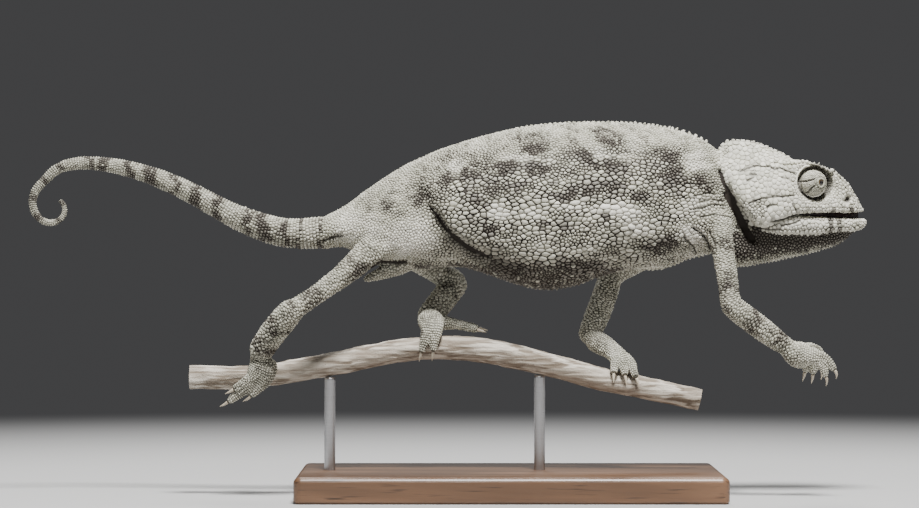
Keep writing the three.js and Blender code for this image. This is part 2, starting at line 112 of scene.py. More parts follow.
# Ribs of the lower jaw and of the throat pouch: X, Z above, Z below, half width.
JAW = [
    [67.6, 72.6, 71.6, 5], [70.5, 73.7, 70.9, 7.8], [76, 76, 70.4, 8.2], [82, 75.7, 70.5, 7.5],
    [88, 75.3, 71.3, 6], [92.5, 74.95, 71.4, 4.4], [95, 74.9, 72, 3], [96.1, 74.8, 73.2, 1.9],
]
THROAT = [
    [54, 74, 65.6, 2.5], [57.5, 76, 63.2, 4.6], [62, 76, 61.8, 5.2], [69, 75, 62.9, 5],
    [76, 74, 64.3, 4.4], [82.5, 73.5, 65.9, 3.8], [88.5, 73.4, 67.8, 3], [92.6, 73.2, 70.9, 1.6],
]

# An eye turret is a ball of skin that looks forward by some degrees; it turns in a round orbit.
TURRET = {"x": 81, "y": 6.1, "z": 84.4, "forward": 34, "radius": 3.65, "height": 4, "opening": 1.1,
          "ball": 1.6}
ORBIT = {"x": 81.8, "z": 84.35, "radius": 5.35, "depth": 3.3}

# The tail: a few places along it, then a spiral curl in the plane of the body.
TAIL_LINE = [[-50.6, 0, 71.1], [-57.8, 0.5, 70.8], [-64.3, 1, 71.8], [-74, 1.5, 75.4], [-86, 1.5, 81.7],
             [-96.7, 1, 86.4], [-108, 0.5, 89.3]]
CURL = {"x": -123.2, "z": 77.6, "start": 62, "widest": 105, "end": 415, "inner": 2.2, "outer": 5.8,
        "decay": 130}
TAIL_RADII = [4.4, 4.1, 3.8, 3.3, 3, 2.8, 2.5, 2.2, 1.9, 1.5, 1.25, 1, 0.75]

# Legs: hip or shoulder, knee or elbow, ankle or wrist, the radii along each length, and how far the
# upper and the lower one bow forward.
LEGS = {
    "right_fore": {"joints": [[55.5, -5.5, 74.5], [58.4, -15.5, 51.8], [74, -12.4, 40.2]],
                   "upper": [4.3, 3.3, 2.9, 2.9], "lower": [3, 3.3, 3.1, 2.4], "bow": [0.4, -0.2]},
    "right_hind": {"joints": [[-35.6, -4.5, 67.8], [-58, -16, 50.3], [-66.6, -8.8, 39.4]],
                   "upper": [5.2, 3.6, 2.7, 2.9], "lower": [3.3, 3.7, 3.6, 3.4], "bow": [1.3, -0.6]},
    "left_fore": {"joints": [[51, 5, 72], [27.8, 14.5, 59.4], [21.4, 5, 43.2]],
                  "upper": [4.2, 3.3, 3.1, 3.1], "lower": [3.3, 3.5, 3.5, 3], "bow": [0.4, 0.4]},
    "left_hind": {"joints": [[-35, 4.5, 70], [-14.6, 14.5, 57.3], [-22, 4.6, 48.2]],
                  "upper": [5.6, 4.3, 3.5, 3.3], "lower": [3.4, 3.7, 3.6, 3.3], "bow": [0.4, 0]},
}
GROIN_FOLD = {"from": [-26, -1, 63.6], "to": [-39.6, -1.5, 58.2], "radii": [2.7, 2.3, 0.9]}
HEEL = {"path": [[72.6, -12.4, 41], [76, -12.4, 38.8], [80.6, -12.4, 37.2]], "radii": [2, 3.7, 3.2]}

TOE = {"root": 2.2, "knuckle": 1.45, "tip": 1.05, "claw": 2.5, "claw_root": 0.45}
GAP = 0.3

# Bundles of toes that grip the perch: leg, toes, side of the perch, place along it, spread, lean of the
# tips along it, degrees round it that they reach, and how stout they are.
GRIPS = [
    ("right_hind", 2, 1, -67.4, 2.6, -0.6, 92, 1.1),
    ("left_hind", 2, -1, -20.6, 3.2, -1.8, 104, 1.5),
    ("left_fore", 3, -1, 29.2, 3.1, 1.4, 64, 1.4),
    ("left_fore", 2, 1, 31, 2.6, 1, 90, 1),
]

# Bundles that hang or are held in the air: palm, knuckle, the toes' tips, the claws' way, how stout.
OPEN_BUNDLES = [
    ([-65.9, -8.6, 37.8], [-67.8, -7.9, 33.2], [[-76, -5.4, 25.4], [-74.4, -6.8, 28.8], [-69.8, -7.2, 27]],
     [-1, 0.2, -0.4], 1.6),
    ([76.5, -13.6, 38.4], [82.2, -14.4, 36.8], [[86.4, -14.4, 34.2], [84, -14.6, 32.4]],
     [-0.3, 0.2, -1], 1.15),
    ([77, -10.6, 39.6], [81.2, -8.8, 38.8], [[78.9, -7.8, 33.4], [81.1, -7.4, 32.8], [83.6, -6.8, 33.8]],
     [-0.35, -0.2, -1], 1),
    ([-20.6, 5.4, 46.8], [-14.4, 3.4, 46.4], [[-8.6, 0.2, 44.8], [-8.2, 2.2, 45.2], [-9, 4.2, 45]],
     [1, 0, -0.3], 1),
]

PERCH_RADIUS = 3.2
PERCH_LINE = [[-86.4, 32.1], [-70.2, 32.1], [-56.7, 34], [-43.2, 36.5], [-29.7, 39.2], [-18.9, 40],
              [-8.1, 39.4], [2.7, 37.3], [13.5, 34.6], [24.3, 31.6], [35.1, 29.4], [51.3, 25.9]]
PERCH_RADII = [3.3, 3.1, 3.2, 3.15, 3.4, 3.2, 3.1, 3]
PERCH_KNOTS = [(0.33, 0.1, 0.5), (0.62, 0.82, 0.4), (0.86, 0.2, 0.55)]  # place along it, round it, height

# ---------------------------------------------------------------- curves and closed forms


def follow(rows, at):
    """Rows of numbers followed smoothly (Catmull-Rom); at counts rows and may be an array."""
    rows = np.asarray(rows, float)
    at = np.clip(np.asarray(at, float), 0, len(rows) - 1)
    i = np.minimum(at.astype(int), len(rows) - 2)
    t = (at - i)[..., None]
    a, b, c, d = (rows[np.clip(i + step, 0, len(rows) - 1)] for step in (-1, 0, 1, 2))
    return 0.5 * (2 * b + (c - a) * t + (2 * a - 5 * b + 4 * c - d) * t**2 + (3 * b - a - 3 * c + d) * t**3)


def between(a, b, c, d, t):
    """The centripetal Catmull-Rom curve from b to c, its speed set by the root of the points' distances."""
    ab, bc, cd = (np.maximum(np.linalg.norm(q - p, axis=-1, keepdims=True), 1e-6) ** 0.5
                  for p, q in ((a, b), (b, c), (c, d)))
    leave = ((b - a) / ab - (c - a) / (ab + bc) + (c - b) / bc) * bc
    arrive = ((c - b) / bc - (d - b) / (bc + cd) + (d - c) / cd) * bc
    return b + leave * t + (3 * (c - b) - 2 * leave - arrive) * t**2 + (2 * (b - c) + leave + arrive) * t**3


def smooth_curve(points, at):
    """The centripetal curve through points (n, 3) at places counted in points."""
    points = np.asarray(points, float)
    count = len(points)
    points = np.concatenate([2 * points[:1] - points[1:2], points, 2 * points[-1:] - points[-2:-1]])
    i = np.minimum(np.floor(at).astype(int), count - 2)
    return between(*(points[i + step] for step in (0, 1, 2, 3)), (at - i)[:, None])


def ramp(values, start, length):
    """0 before the start and 1 once length is past; a length below 0 makes it fall from 1 to 0."""
    return np.clip((values - start) / length, 0, 1)


def ellipse(points, x, z, half_x, half_z):
    """The squared distance in the side view from a middle, counted in half sizes: 1 on the ellipse's edge."""
    return ((points[:, 0] - x) / half_x) ** 2 + ((points[:, 2] - z) / half_z) ** 2


def unit(vectors):
    """Vectors of length one."""
    return vectors / np.maximum(np.linalg.norm(vectors, axis=-1, keepdims=True), 1e-9)


def dome(distance, length):
    """0 at a rounded end, rising as a quarter circle to 1 beyond its length."""
    return np.sqrt(1 - (1 - np.minimum(distance / length, 1)) ** 2)


class Tube:
    """A round form along a path, its radii spread evenly along it, with rounded or flat ends."""

    def __init__(self, points, radii, rounded=True):
        at = np.linspace(0, len(points) - 1, 400)
        self.line = smooth_curve(points, at)
        steps = np.linalg.norm(np.diff(self.line, axis=0), axis=1)
        self.travelled = np.concatenate([[0], np.cumsum(steps)])
        self.length = self.travelled[-1]
        self.radii = [[radius] for radius in radii]
        self.rounded = rounded

    def centre(self, u):
        """The places at shares u of the path's length."""
        return np.stack([np.interp(u * self.length, self.travelled, self.line[:, n]) for n in range(3)], -1)

    def axes(self, u):
        """The way along the path, across it towards +Y, and up from both."""
        along = unit(self.centre(np.minimum(u + 0.01, 1)) - self.centre(np.maximum(u - 0.01, 0)))
        side = unit(np.array([0, 1.0, 0]) - along * along[..., 1:2])
        return along, side, np.cross(along, side)

    def place(self, u, v, grow=0.0):
        """Centre plus radius times the turned unit circle; v goes once round it. Thin ends grow less."""
        u, v = np.broadcast_arrays(np.asarray(u, float), np.asarray(v, float))
        _, side, up = self.axes(u)
        radius = follow(self.radii, u * (len(self.radii) - 1))[..., 0]
        reach = radius + grow * np.minimum(1, radius / 1.9)
        if self.rounded:
            reach = reach * np.maximum(0.1, dome(u * self.length, self.radii[0][0])
                                       * dome((1 - u) * self.length, self.radii[-1][0]))
        turn = 2 * np.pi * v[..., None]
        return self.centre(u) + reach[..., None] * (up * np.cos(turn) + side * np.sin(turn))


def body_place(u, v, grow=0.0):
    """Half width times sine and height times cosine of the turn, pinched to a keel along the back."""
    u, v = np.broadcast_arrays(np.asarray(u, float), np.asarray(v, float))
    ribs = follow(BODY, u * (len(BODY) - 1))
    ridge_x, ridge_z, keel_x, keel_z, half, wide, keeled = np.moveaxis(ribs, -1, 0)
    cos, sin = np.cos(2 * np.pi * v), np.sin(2 * np.pi * v)
    height = wide + np.where(cos > 0, (1 - wide) * cos, wide * cos)
    width = half * np.abs(sin) ** np.where(cos > 0, keeled, 1) + grow * np.abs(sin)
    x = keel_x + (ridge_x - keel_x) * height
    return np.stack([x, np.sign(sin) * width, keel_z + (ridge_z - keel_z) * height + grow * cos], -1)


def head_place(u, v, grow=0.0):
    """For each rib a closed curve through crown, brow, temple, cheek and lip on each side; lips grow less."""
    u, v = np.broadcast_arrays(np.asarray(u, float), np.asarray(v, float))
    crown_x, crown_z, brow_y, brow_z, temple_y, temple_z, cheek_y, cheek_z, lip_x, lip_y, lip_z = np.moveaxis(
        follow(HEAD, u * (len(HEAD) - 1)), -1, 0)
    middle = (crown_z + lip_z) / 2

    def station(y, z):
        """A point at half width y and height z of each rib; X runs from the lip's to the crown's."""
        share = np.clip((z - lip_z) / (crown_z - lip_z), 0, 1) ** 0.6
        rise = grow * np.where(z > middle, 1, -0.7)
        return np.stack([lip_x + (crown_x - lip_x) * share, y + grow * np.sign(y), z + rise], -1)

    side = [(brow_y, brow_z), (temple_y, temple_z), (cheek_y, cheek_z), (lip_y, lip_z)]
    ring = np.stack([station(0 * brow_y, crown_z), *(station(y, z) for y, z in side),
                     station(0 * lip_y, lip_z), *(station(-y, z) for y, z in side[::-1])])
    at = v % 1 * len(ring)
    i = np.floor(at).astype(int)
    a, b, c, d = (np.take_along_axis(ring, ((i + step) % len(ring))[None, ..., None], 0)[0]
                  for step in (-1, 0, 1, 2))
    return between(a, b, c, d, (at - i)[..., None])


def trough_place(ribs, u, v, grow, square):
    """A low form with flattened sides: sine and cosine of the turn raised to a power under one."""
    u, v = np.broadcast_arrays(np.asarray(u, float), np.asarray(v, float))
    x, above, below, half = np.moveaxis(follow(ribs, u * (len(ribs) - 1)), -1, 0)
    cos, sin = np.cos(2 * np.pi * v), np.sin(2 * np.pi * v)
    above, below = above + 0.8 * grow, below - grow
    z = (above + below) / 2 + (above - below) / 2 * np.sign(cos) * np.abs(cos) ** square
    return np.stack([x, (half + grow) * np.sign(sin) * np.abs(sin) ** square, z], -1)


def closed_form(place, rows, sides, grow):
    """A grid of points round a form, each end closed by a fan to its middle, and each point's u and v."""
    u, v = np.meshgrid(np.linspace(0, 1, rows + 1), np.arange(sides) / sides, indexing="ij")
    grid = place(u, v, grow)
    points, faces = capped(grid, grid[0].mean(0), grid[-1].mean(0))
    return points, faces, np.concatenate([u.ravel(), [0, 1]]), np.concatenate([v.ravel(), [0, 0]])


def capped(grid, first, last):
    """The points and faces of rings of points whose two ends are closed by fans to middle points."""
    rows, sides = grid.shape[:2]
    points = np.concatenate([grid.reshape(-1, 3), [first], [last]])
    return points, grid_faces(rows, sides, (rows * sides, rows * sides + 1))


def turned_over(faces):
    """The same faces seen from their other side."""
    return [face[::-1] for face in faces]


def joined(shapes):
    """One list of points and one of faces from several pairs of them."""
    points, faces, first = [], [], 0
    for shape_points, shape_faces in shapes:
        points.append(shape_points)
        faces += [[first + i for i in face] for face in shape_faces]
        first += len(shape_points)
    return np.concatenate(points), faces


def grid_faces(rows, sides, caps=()):
    """Walls between rings of points, and fans to the two middle points where caps names them."""
    i = np.arange(sides)
    j = (i + 1) % sides
    row = (np.arange(rows - 1) * sides)[:, None]
    faces = np.stack([row + i, row + sides + i, row + sides + j, row + j], -1).reshape(-1, 4).tolist()
    if caps:
        end = (rows - 1) * sides
        faces += [[caps[0], a, b] for a, b in zip(i.tolist(), j.tolist())]
        faces += [[caps[1], end + b, end + a] for a, b in zip(i.tolist(), j.tolist())]
    return faces


# ---------------------------------------------------------------- the animal's lengths


def leg_length(start, end, radii, bow):
    """A length of leg from joint to joint, whose rounded ends reach past both."""
    start, end = np.array(start, float), np.array(end, float)
    way = unit(end - start)
    middle = (start + end) / 2 + np.array([bow, 0, 0])
    return Tube([start - 0.75 * radii[0] * way, middle, end + 0.75 * radii[-1] * way], radii)


def tail_tube():
    """The tail's line runs on into a spiral whose reach falls off as it turns."""
    turned = np.linspace(CURL["start"], CURL["end"], 16)
    before = CURL["widest"] - turned
    early = np.maximum(0, before)
    reach = CURL["inner"] + CURL["outer"] * np.exp(before / CURL["decay"]) * np.where(early > 0, 1.06, 1)
    reach = reach * (1 + 0.28 * early / (CURL["widest"] - CURL["start"]))
    turn = np.radians(turned)
    curl = np.stack([CURL["x"] + reach * np.cos(turn), 0 * turn, CURL["z"] + reach * np.sin(turn)], -1)
    return Tube(np.concatenate([TAIL_LINE, curl]), TAIL_RADII, rounded=False)


def off_perch(x, angle, side, clear):
    """A point off the perch at X, angle degrees from its top towards side, and clear of its bark."""
    before, z, after = np.interp([x - 1, x, x + 1], *np.transpose(PERCH_LINE))
    tilt = math.atan((after - before) / 2)
    reach = PERCH_RADIUS + clear
    rise = reach * math.cos(math.radians(angle))
    return np.array([x - rise * math.sin(tilt), side * reach * math.sin(math.radians(angle)),
                     z + rise * math.cos(tilt)])


def toe_paths():
    """Each toe as its path, how stout it is and the way its claw points."""
    toes = []
    for leg, count, side, x, spread, lean, reach, stout in GRIPS:
        for off in (np.arange(count) - (count - 1) / 2) * spread:
            def at(part, clear):
                """A point this part of the way from the top of the perch to the toe's tip."""
                along = x + off * (0.7 + 0.3 * part) + lean * part
                return off_perch(along, reach * (0.25 + 0.75 * part), side, clear)
            root, knuckle = at(0, 0.9 * TOE["root"] * stout + 0.2), at(0.5, TOE["knuckle"] + GAP)
            tip = at(1, TOE["tip"] + GAP)
            way = at(1.45, TOE["tip"] + GAP) - tip - np.array([0, 0, 1.2])
            toes.append(([LEGS[leg]["joints"][2], root, knuckle, tip], stout, way))
    for palm, knuckle, tips, claw, stout in OPEN_BUNDLES:
        for tip in tips:
            bend = np.array(knuckle) + 0.5 * (np.array(tip) - np.array(tips[len(tips) // 2]))
            toes.append(([palm, bend, tip], stout, np.array(claw, float)))
    return toes


LEG_TUBES = {}
for leg_name, leg in LEGS.items():
    hip, knee, ankle = leg["joints"]
    LEG_TUBES[leg_name + "_upper"] = leg_length(hip, knee, leg["upper"], leg["bow"][0])
    LEG_TUBES[leg_name + "_lower"] = leg_length(knee, ankle, leg["lower"], leg["bow"][1])
TAIL = tail_tube()
FOLD_TUBE = Tube([GROIN_FOLD["from"], GROIN_FOLD["to"]], GROIN_FOLD["radii"])
HEEL_TUBE = Tube(HEEL["path"], HEEL["radii"])
TOES = toe_paths()
TOE_TUBES = [Tube(path, [TOE["root"] * 0.88 * stout, TOE["root"] * 0.95 * stout, TOE["knuckle"] * stout,
                         TOE["knuckle"] * (0.45 + 0.4 * stout), TOE["tip"]]) for path, stout, _ in TOES]


def turret_frame(side):
    """The middle of an eye turret, the way it points, and two ways across it."""
    yaw = math.radians(TURRET["forward"])
    out = np.array([math.sin(yaw), side * math.cos(yaw), 0])
    forward = np.array([math.cos(yaw), -side * math.sin(yaw), 0])
    return np.array([TURRET["x"], side * TURRET["y"], TURRET["z"]]), out, forward, np.array([0, 0, 1.0])


def turret_place(side):
    """A ball from its foot in the orbit, u = 0, past its widest ring at u = 0.3 to the lids' rim at 1."""
    middle, out, forward, up = turret_frame(side)

    def place(u, v, grow=0.0):
        """Middle, plus out times the height, plus the turned unit circle times the reach."""
        u, v = np.broadcast_arrays(np.asarray(u, float), np.asarray(v, float))
        rise = np.clip((u - 0.3) / 0.7, 0, 1) * np.pi / 2
        back = np.clip((0.3 - u) / 0.3, 0, 1) * math.radians(50)
        radius = TURRET["radius"] + grow
        reach = TURRET["opening"] + (radius - TURRET["opening"]) * np.cos(rise) ** 0.8
        reach = np.where(back > 0, radius * np.cos(back), reach)
        height = (TURRET["height"] + grow) * np.sin(rise) - radius * np.sin(back)
        turn = 2 * np.pi * v * side
        around = forward * np.cos(turn)[..., None] + up * np.sin(turn)[..., None]
        return middle + out * height[..., None] + around * reach[..., None]
    return place


# ---------------------------------------------------------------- making pieces


def make_mesh(name, points, faces):
    """A mesh in metres from points in millimetres."""
    mesh = bpy.data.meshes.new(name)
    mesh.from_pydata(np.asarray(points, float) * MM, [], faces)
    mesh.update()
    return mesh


def add_piece(name, mesh, material, smooth=True):
    """Puts a finished mesh in the scene as a piece that rides on the body."""
    piece = bpy.data.objects.new(name, mesh)
    bpy.context.collection.objects.link(piece)
    mesh.materials.clear()
    mesh.materials.append(material)
    mesh.polygons.foreach_set("use_smooth", np.full(len(mesh.polygons), smooth))
    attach(piece, "root")
    return piece


def set_attribute(mesh, name, values):
    """One number for each point."""
    mesh.attributes.new(name, "FLOAT", "POINT").data.foreach_set("value", np.asarray(values, np.float32))


def mesh_points(mesh):
    """The points of a mesh in millimetres, and their normals."""
    points = np.empty(len(mesh.vertices) * 3)
    mesh.vertices.foreach_get("co", points)
    normals = np.empty(len(mesh.vertices) * 3)
    mesh.vertices.foreach_get("normal", normals)
    return points.reshape(-1, 3) / MM, normals.reshape(-1, 3)


# ---------------------------------------------------------------- the skin


def jaw_form(u, v, grow=0.0):
    """The lower jaw: a low form with square sides."""
    return trough_place(JAW, u, v, grow, 0.62)


def throat_form(u, v, grow=0.0):
    """The throat pouch: a low form, almost round in section."""
    return trough_place(THROAT, u, v, grow, 0.95)


def flesh_forms():
    """Every closed form of flesh: the part it belongs to, how it is placed, and its rows and sides."""
    forms = [("body", body_place, 150, 120), ("head", head_place, 130, 150), ("jaw", jaw_form, 70, 60),
             ("throat", throat_form, 60, 60)]
    forms += [("turret", turret_place(side), 30, 60) for side in (-1, 1)]
    forms += [("tail", TAIL.place, 320, 32), ("fold", FOLD_TUBE.place, 30, 24),
              ("heel", HEEL_TUBE.place, 30, 24)]
    forms += [(name, tube.place, 50, 32) for name, tube in LEG_TUBES.items()]
    return forms + [("toe", tube.place, 36, 24) for tube in TOE_TUBES]


def sink_orbits(points):
    """Round each eye turret the side of the head is pressed in to a dish with a steep rim."""
    across = np.hypot(points[:, 0] - ORBIT["x"], points[:, 2] - ORBIT["z"]) / ORBIT["radius"]
    sunk = ORBIT["depth"] * np.clip(1 - across**5, 0, 1)
    return np.stack([points[:, 0], points[:, 1] - np.sign(points[:, 1]) * sunk, points[:, 2]], -1)


def join_forms(forms):
    """One mesh of several closed forms, and where each of their points belongs: part, along it, round it."""
    shapes, charts = [], []
    for part, (name, place, rows, sides) in enumerate(forms):
        points, faces, u, v = closed_form(place, rows, sides, -COAT_DEPTH)
        shapes.append((sink_orbits(points) if name == "head" else points, faces))
        charts.append(np.stack([np.full(len(u), part), u, v], -1))
    return *joined(shapes), np.concatenate(charts)


def neighbours_mean(points, edges, count):
    """The mean of each point's neighbours along the edges."""
    total = np.zeros_like(points)
    for n in range(points.shape[1]):
        total[:, n] = (np.bincount(edges[:, 0], points[edges[:, 1], n], count)
                       + np.bincount(edges[:, 1], points[edges[:, 0], n], count))
    degree = np.bincount(edges.ravel(), minlength=count)
    return total / np.maximum(degree, 1)[:, None]


def mesh_edges(mesh):
    """The pairs of points its edges join."""
    edges = np.empty(len(mesh.edges) * 2, np.int32)
    mesh.edges.foreach_get("vertices", edges)
    return edges.reshape(-1, 2)


def move_points(mesh, points):
    """Puts a mesh's points at new places given in millimetres."""
    mesh.vertices.foreach_set("co", (points * MM).ravel())
    mesh.update()


def on_head(points):
    """1 on the head and jaw, falling to 0 on the neck and the throat's lower edge."""
    return ramp(points[:, 0], 58, 4) * ramp(points[:, 2], 70, 3)


def smooth_skin(mesh):
    """Rounds off the remesh, then fills the hollows where forms meet and leaves swellings almost alone."""
    edges = mesh_edges(mesh)
    points, _ = mesh_points(mesh)
    for _ in range(3):
        points = points + 0.5 * (neighbours_mean(points, edges, len(points)) - points)
    x, z = points[:, 0], points[:, 2]
    crisp = np.where(z < 73, on_head(points) * ramp(x, 89, -2), on_head(points))
    crisp = np.maximum(crisp, 0.9 * ramp(z, 48, -4))
    for turn in range(26):
        if turn % 6 == 0:
            move_points(mesh, points)
            _, normals = mesh_points(mesh)
        towards = neighbours_mean(points, edges, len(points)) - points
        hollow = np.sum(towards * normals, 1) > 0
        share = np.where(hollow, 0.5 * (1 - 0.92 * crisp), 0.06)
        points = points + share[:, None] * towards
    move_points(mesh, points)


# Creases of the skin in the side view: points X, Z along each, then its half width, depth, darkness and
# the half width that scales leave bare. The darkness is partly the skin's own dark in the grooves and
# partly painted shade: the shadow under the head's rear rim, in the groin and along the head's lines.
CREASES = [
    # the rim behind the head and the groove below it: painted shadow cast by the head's rear rim, on a real
    # groove
    ([(56.4, 87.3), (57.5, 83.8), (59.1, 81.6), (60.5, 79.2)], 0.8, 0.9, 1.0, 0.5),
    ([(58.2, 81.5), (59.3, 79.3), (60.9, 76.8), (62.2, 74.1), (63.5, 71.3), (64.8, 69.2)],
     1.5, 1.4, 1.0, 1.05),
    ([(61.7, 87.3), (63.9, 88.3), (66.3, 89), (67.7, 88.7), (69.6, 88.7), (70.7, 88), (72.5, 88.3),
      (74.5, 87.4), (76.4, 86.8)], 0.4, 0.3, 0.8, 0.16),
    ([(63.9, 78.9), (65.6, 79.6), (67.2, 80.2), (68.5, 80.2), (69.9, 80.5), (71.6, 80.8),
      (72.7, 80.5), (74, 80.8), (75.9, 81)], 0.36, 0.3, 0.8, 0.16),
    ([(68.4, 78), (70.2, 78.5), (71.8, 78.4)], 0.3, 0.2, 0.7, 0.16),
    ([(76.8, 76.1), (75.3, 75.5), (73.2, 74.7), (71, 74.2), (69.9, 74.1)], 0.36, 0.4, 1.0, 0.16),
    ([(75.4, 78.7), (75.9, 77.8), (76.6, 76.8)], 0.32, 0.3, 0.8, 0.16),
    ([(72.3, 73), (73.9, 73.1), (76.1, 73.6), (77.5, 74.2)], 0.4, 0.35, 0.8, 0.16),
    ([(66.4, 72.6), (69.2, 72), (72.6, 71.9)], 0.36, 0.3, 0.5, 0.16),
    ([(63.4, 84.9), (64.2, 85.3), (65.4, 85.8)], 0.36, 0.2, 0.8, 0.16),
    ([(64.4, 86.6), (66, 86.6)], 0.35, 0.2, 0.7, 0.16),
    ([(72.6, 85.8), (74.2, 85.4), (75.6, 84.6)], 0.36, 0.2, 0.5, 0.16),
    ([(77.6, 84.7), (79.6, 84.8), (81.3, 85.3)], 0.3, 0.22, 1.0, 0.16),
    ([(79.5, 81.8), (80.6, 82.9), (81.6, 83.8)], 0.28, 0.2, 0.8, 0.16),
    ([(48.8, 72.3), (51.3, 70.8), (53.1, 68.7), (54.1, 65.9)], 0.5, 0.55, 0.9, 0.16),
    ([(53.4, 71.4), (54.7, 68)], 0.4, 0.45, 0.8, 0.16),
    ([(46.4, 69.9), (49.2, 67.4), (50.1, 65.6)], 0.45, 0.4, 0.7, 0.16),
    ([(49.2, 80.9), (52.6, 81.6), (55.1, 81.3)], 0.32, 0.2, 0.7, 0.11),
    ([(48.2, 77.2), (51.6, 77.6), (53.6, 78.6), (57.4, 78.3)], 0.32, 0.22, 0.7, 0.11),
    ([(50.6, 79.2), (53.6, 79.9), (56.6, 79.6)], 0.3, 0.2, 0.6, 0.11),
    ([(46.6, 84.2), (51, 83.9), (55, 84.6)], 0.3, 0.2, 0.5, 0.08),
    ([(-49.8, 69.1), (-47.8, 70), (-45.4, 70.3)], 0.5, 0.5, 0.9, 0.16),
    ([(-38.4, 60.2), (-36.8, 61.8), (-34.4, 63.3), (-31.3, 63.2), (-28, 63.3)], 0.8, 0.8, 1.0, 0.34),
    ([(50.8, 75.2), (54.6, 75.9), (59.2, 75)], 0.3, 0.22, 0.6, 0.11),
    # the groin: painted shadow where the thigh meets the flank, on a real crease
    ([(-21.4, 78), (-19.6, 75.6)], 0.5, 0.5, 0.8, 0.16),
    ([(-19.6, 75.6), (-17.6, 72.6), (-15.4, 70.4)], 1.0, 1.2, 1.0, 0.34),
    ([(-15.4, 70.4), (-12.2, 67.8), (-9.2, 66)], 1.3, 1.3, 1.0, 0.6),
    ([(-9.2, 66), (-6, 64.8)], 1.2, 1.0, 1.0, 0.3),
    # a broad band of painted shadow below the groin, which leaves no skin bare
    ([(-15.4, 70), (-12.2, 67.3), (-9.2, 65.2), (-4, 63.6), (2, 61.4)], 2.2, 0.4, 0.9, 0),
]

# The groove behind the head, X and Z from throat to nape: the body's scales end here.
NECK = [(66.6, 69.8), (63.4, 73.9), (60.5, 79.2), (59.1, 81.6), (57.5, 83.8), (56.4, 87.3), (55.7, 93)]


def behind_neck(points):
    """Which points lie behind the groove at the neck."""
    return points[:, 0] < np.interp(points[:, 2], [z for _, z in NECK], [x for x, _ in NECK])


def away_from_line(points, line):
    """How far points are in the side view from a line of straight pieces."""
    flat = points[:, [0, 2]]
    nearest = np.full(len(points), 99.0)
    for start, end in zip(np.array(line[:-1]), np.array(line[1:])):
        along = np.clip((flat - start) @ (end - start) / np.sum((end - start) ** 2), 0, 1)
        nearest = np.minimum(nearest, np.linalg.norm(flat - start - along[:, None] * (end - start), axis=1))
    return nearest


def orbit_floor(points):
    """1 on the floor of an orbit, between its rim and the turret's widest ring, and 0 elsewhere; it darkens
    the floor as painted shade.
    """
    rim = ORBIT["radius"] - 0.15 - np.hypot(points[:, 0] - ORBIT["x"], points[:, 2] - ORBIT["z"])
    ball = np.hypot(points[:, 0] - TURRET["x"] - 0.3, points[:, 2] - TURRET["z"]) - TURRET["radius"] + 0.1
    on_side = (points[:, 2] > 78) & (points[:, 2] < 91) & (np.abs(points[:, 1]) > 2)
    # painted shade in the orbit, darkest near the turret
    return np.clip(rim * 3, 0, 1) * np.clip(ball * 3, 0, 1) * np.interp(ball, [0.9, 1.9], [1, 0.45]) * on_side


def creased(points, normals):
    """How deep and how dark the creases are at each point that faces sideways. The darkness is partly the
    skin's own dark in the grooves and partly painted shade; on the orbits' floors it is all painted shade.
    """
    on_side = np.abs(points[:, 1]) > 2
    facing = np.clip(np.abs(normals[:, 1]) * 2 - 0.3, 0, 1) * on_side
    deep, dark = np.zeros(len(points)), np.zeros(len(points))
    for line, width, depth, darkness, bare in CREASES:
        away = away_from_line(points, line)
        valley = np.exp(-(away / width) ** 2) * facing
        floor = np.clip((bare + 0.15 - away) / 0.15, 0, 1) * (on_side & (bare > 0))
        deep = np.maximum(deep, depth * valley)
        # the darkness of each crease, partly painted shade
        dark = np.maximum(dark, darkness * np.maximum(valley, floor))
    return deep, np.maximum(dark, orbit_floor(points))


def on_crease(points, within):
    """Which points on the sides lie no farther than this from the bare part of a crease."""
    found = np.zeros(len(points), bool)
    for line, _, _, _, bare in CREASES:
        if bare:
            found |= away_from_line(points, line) < bare + within
    return found & (np.abs(points[:, 1]) > 2)


def hollows(mesh):
    """0 on flat and rounded skin, up to 1 in folds: how far the neighbourhood's mean stands above a point. It
    darkens the folds as painted shade.
    """
    points, normals = mesh_points(mesh)
    edges = mesh_edges(mesh)
    mean = points
    for _ in range(8):
        mean = neighbours_mean(mean, edges, len(points))
    above = np.sum((mean - points) * normals, axis=1)
    ahead_of_neck = ~behind_neck(points) & (points[:, 2] > 70)
    # painted shade: the deeper the fold, the darker
    return np.clip(above / 0.3 - 0.25, 0, 1) * np.where(ahead_of_neck, 0.4, 0.85)


NOSTRIL = {"x": 90.7, "y": 4.4, "z": 80, "radius": 0.85, "depth": 1.3}


def nostril_away(points):
    """How far points are from a nostril, on either side of the snout."""
    middle = np.array([NOSTRIL["x"], NOSTRIL["y"], NOSTRIL["z"]])
    return np.linalg.norm((np.abs(points) - middle) * np.array([1, 0.4, 1]), axis=1)


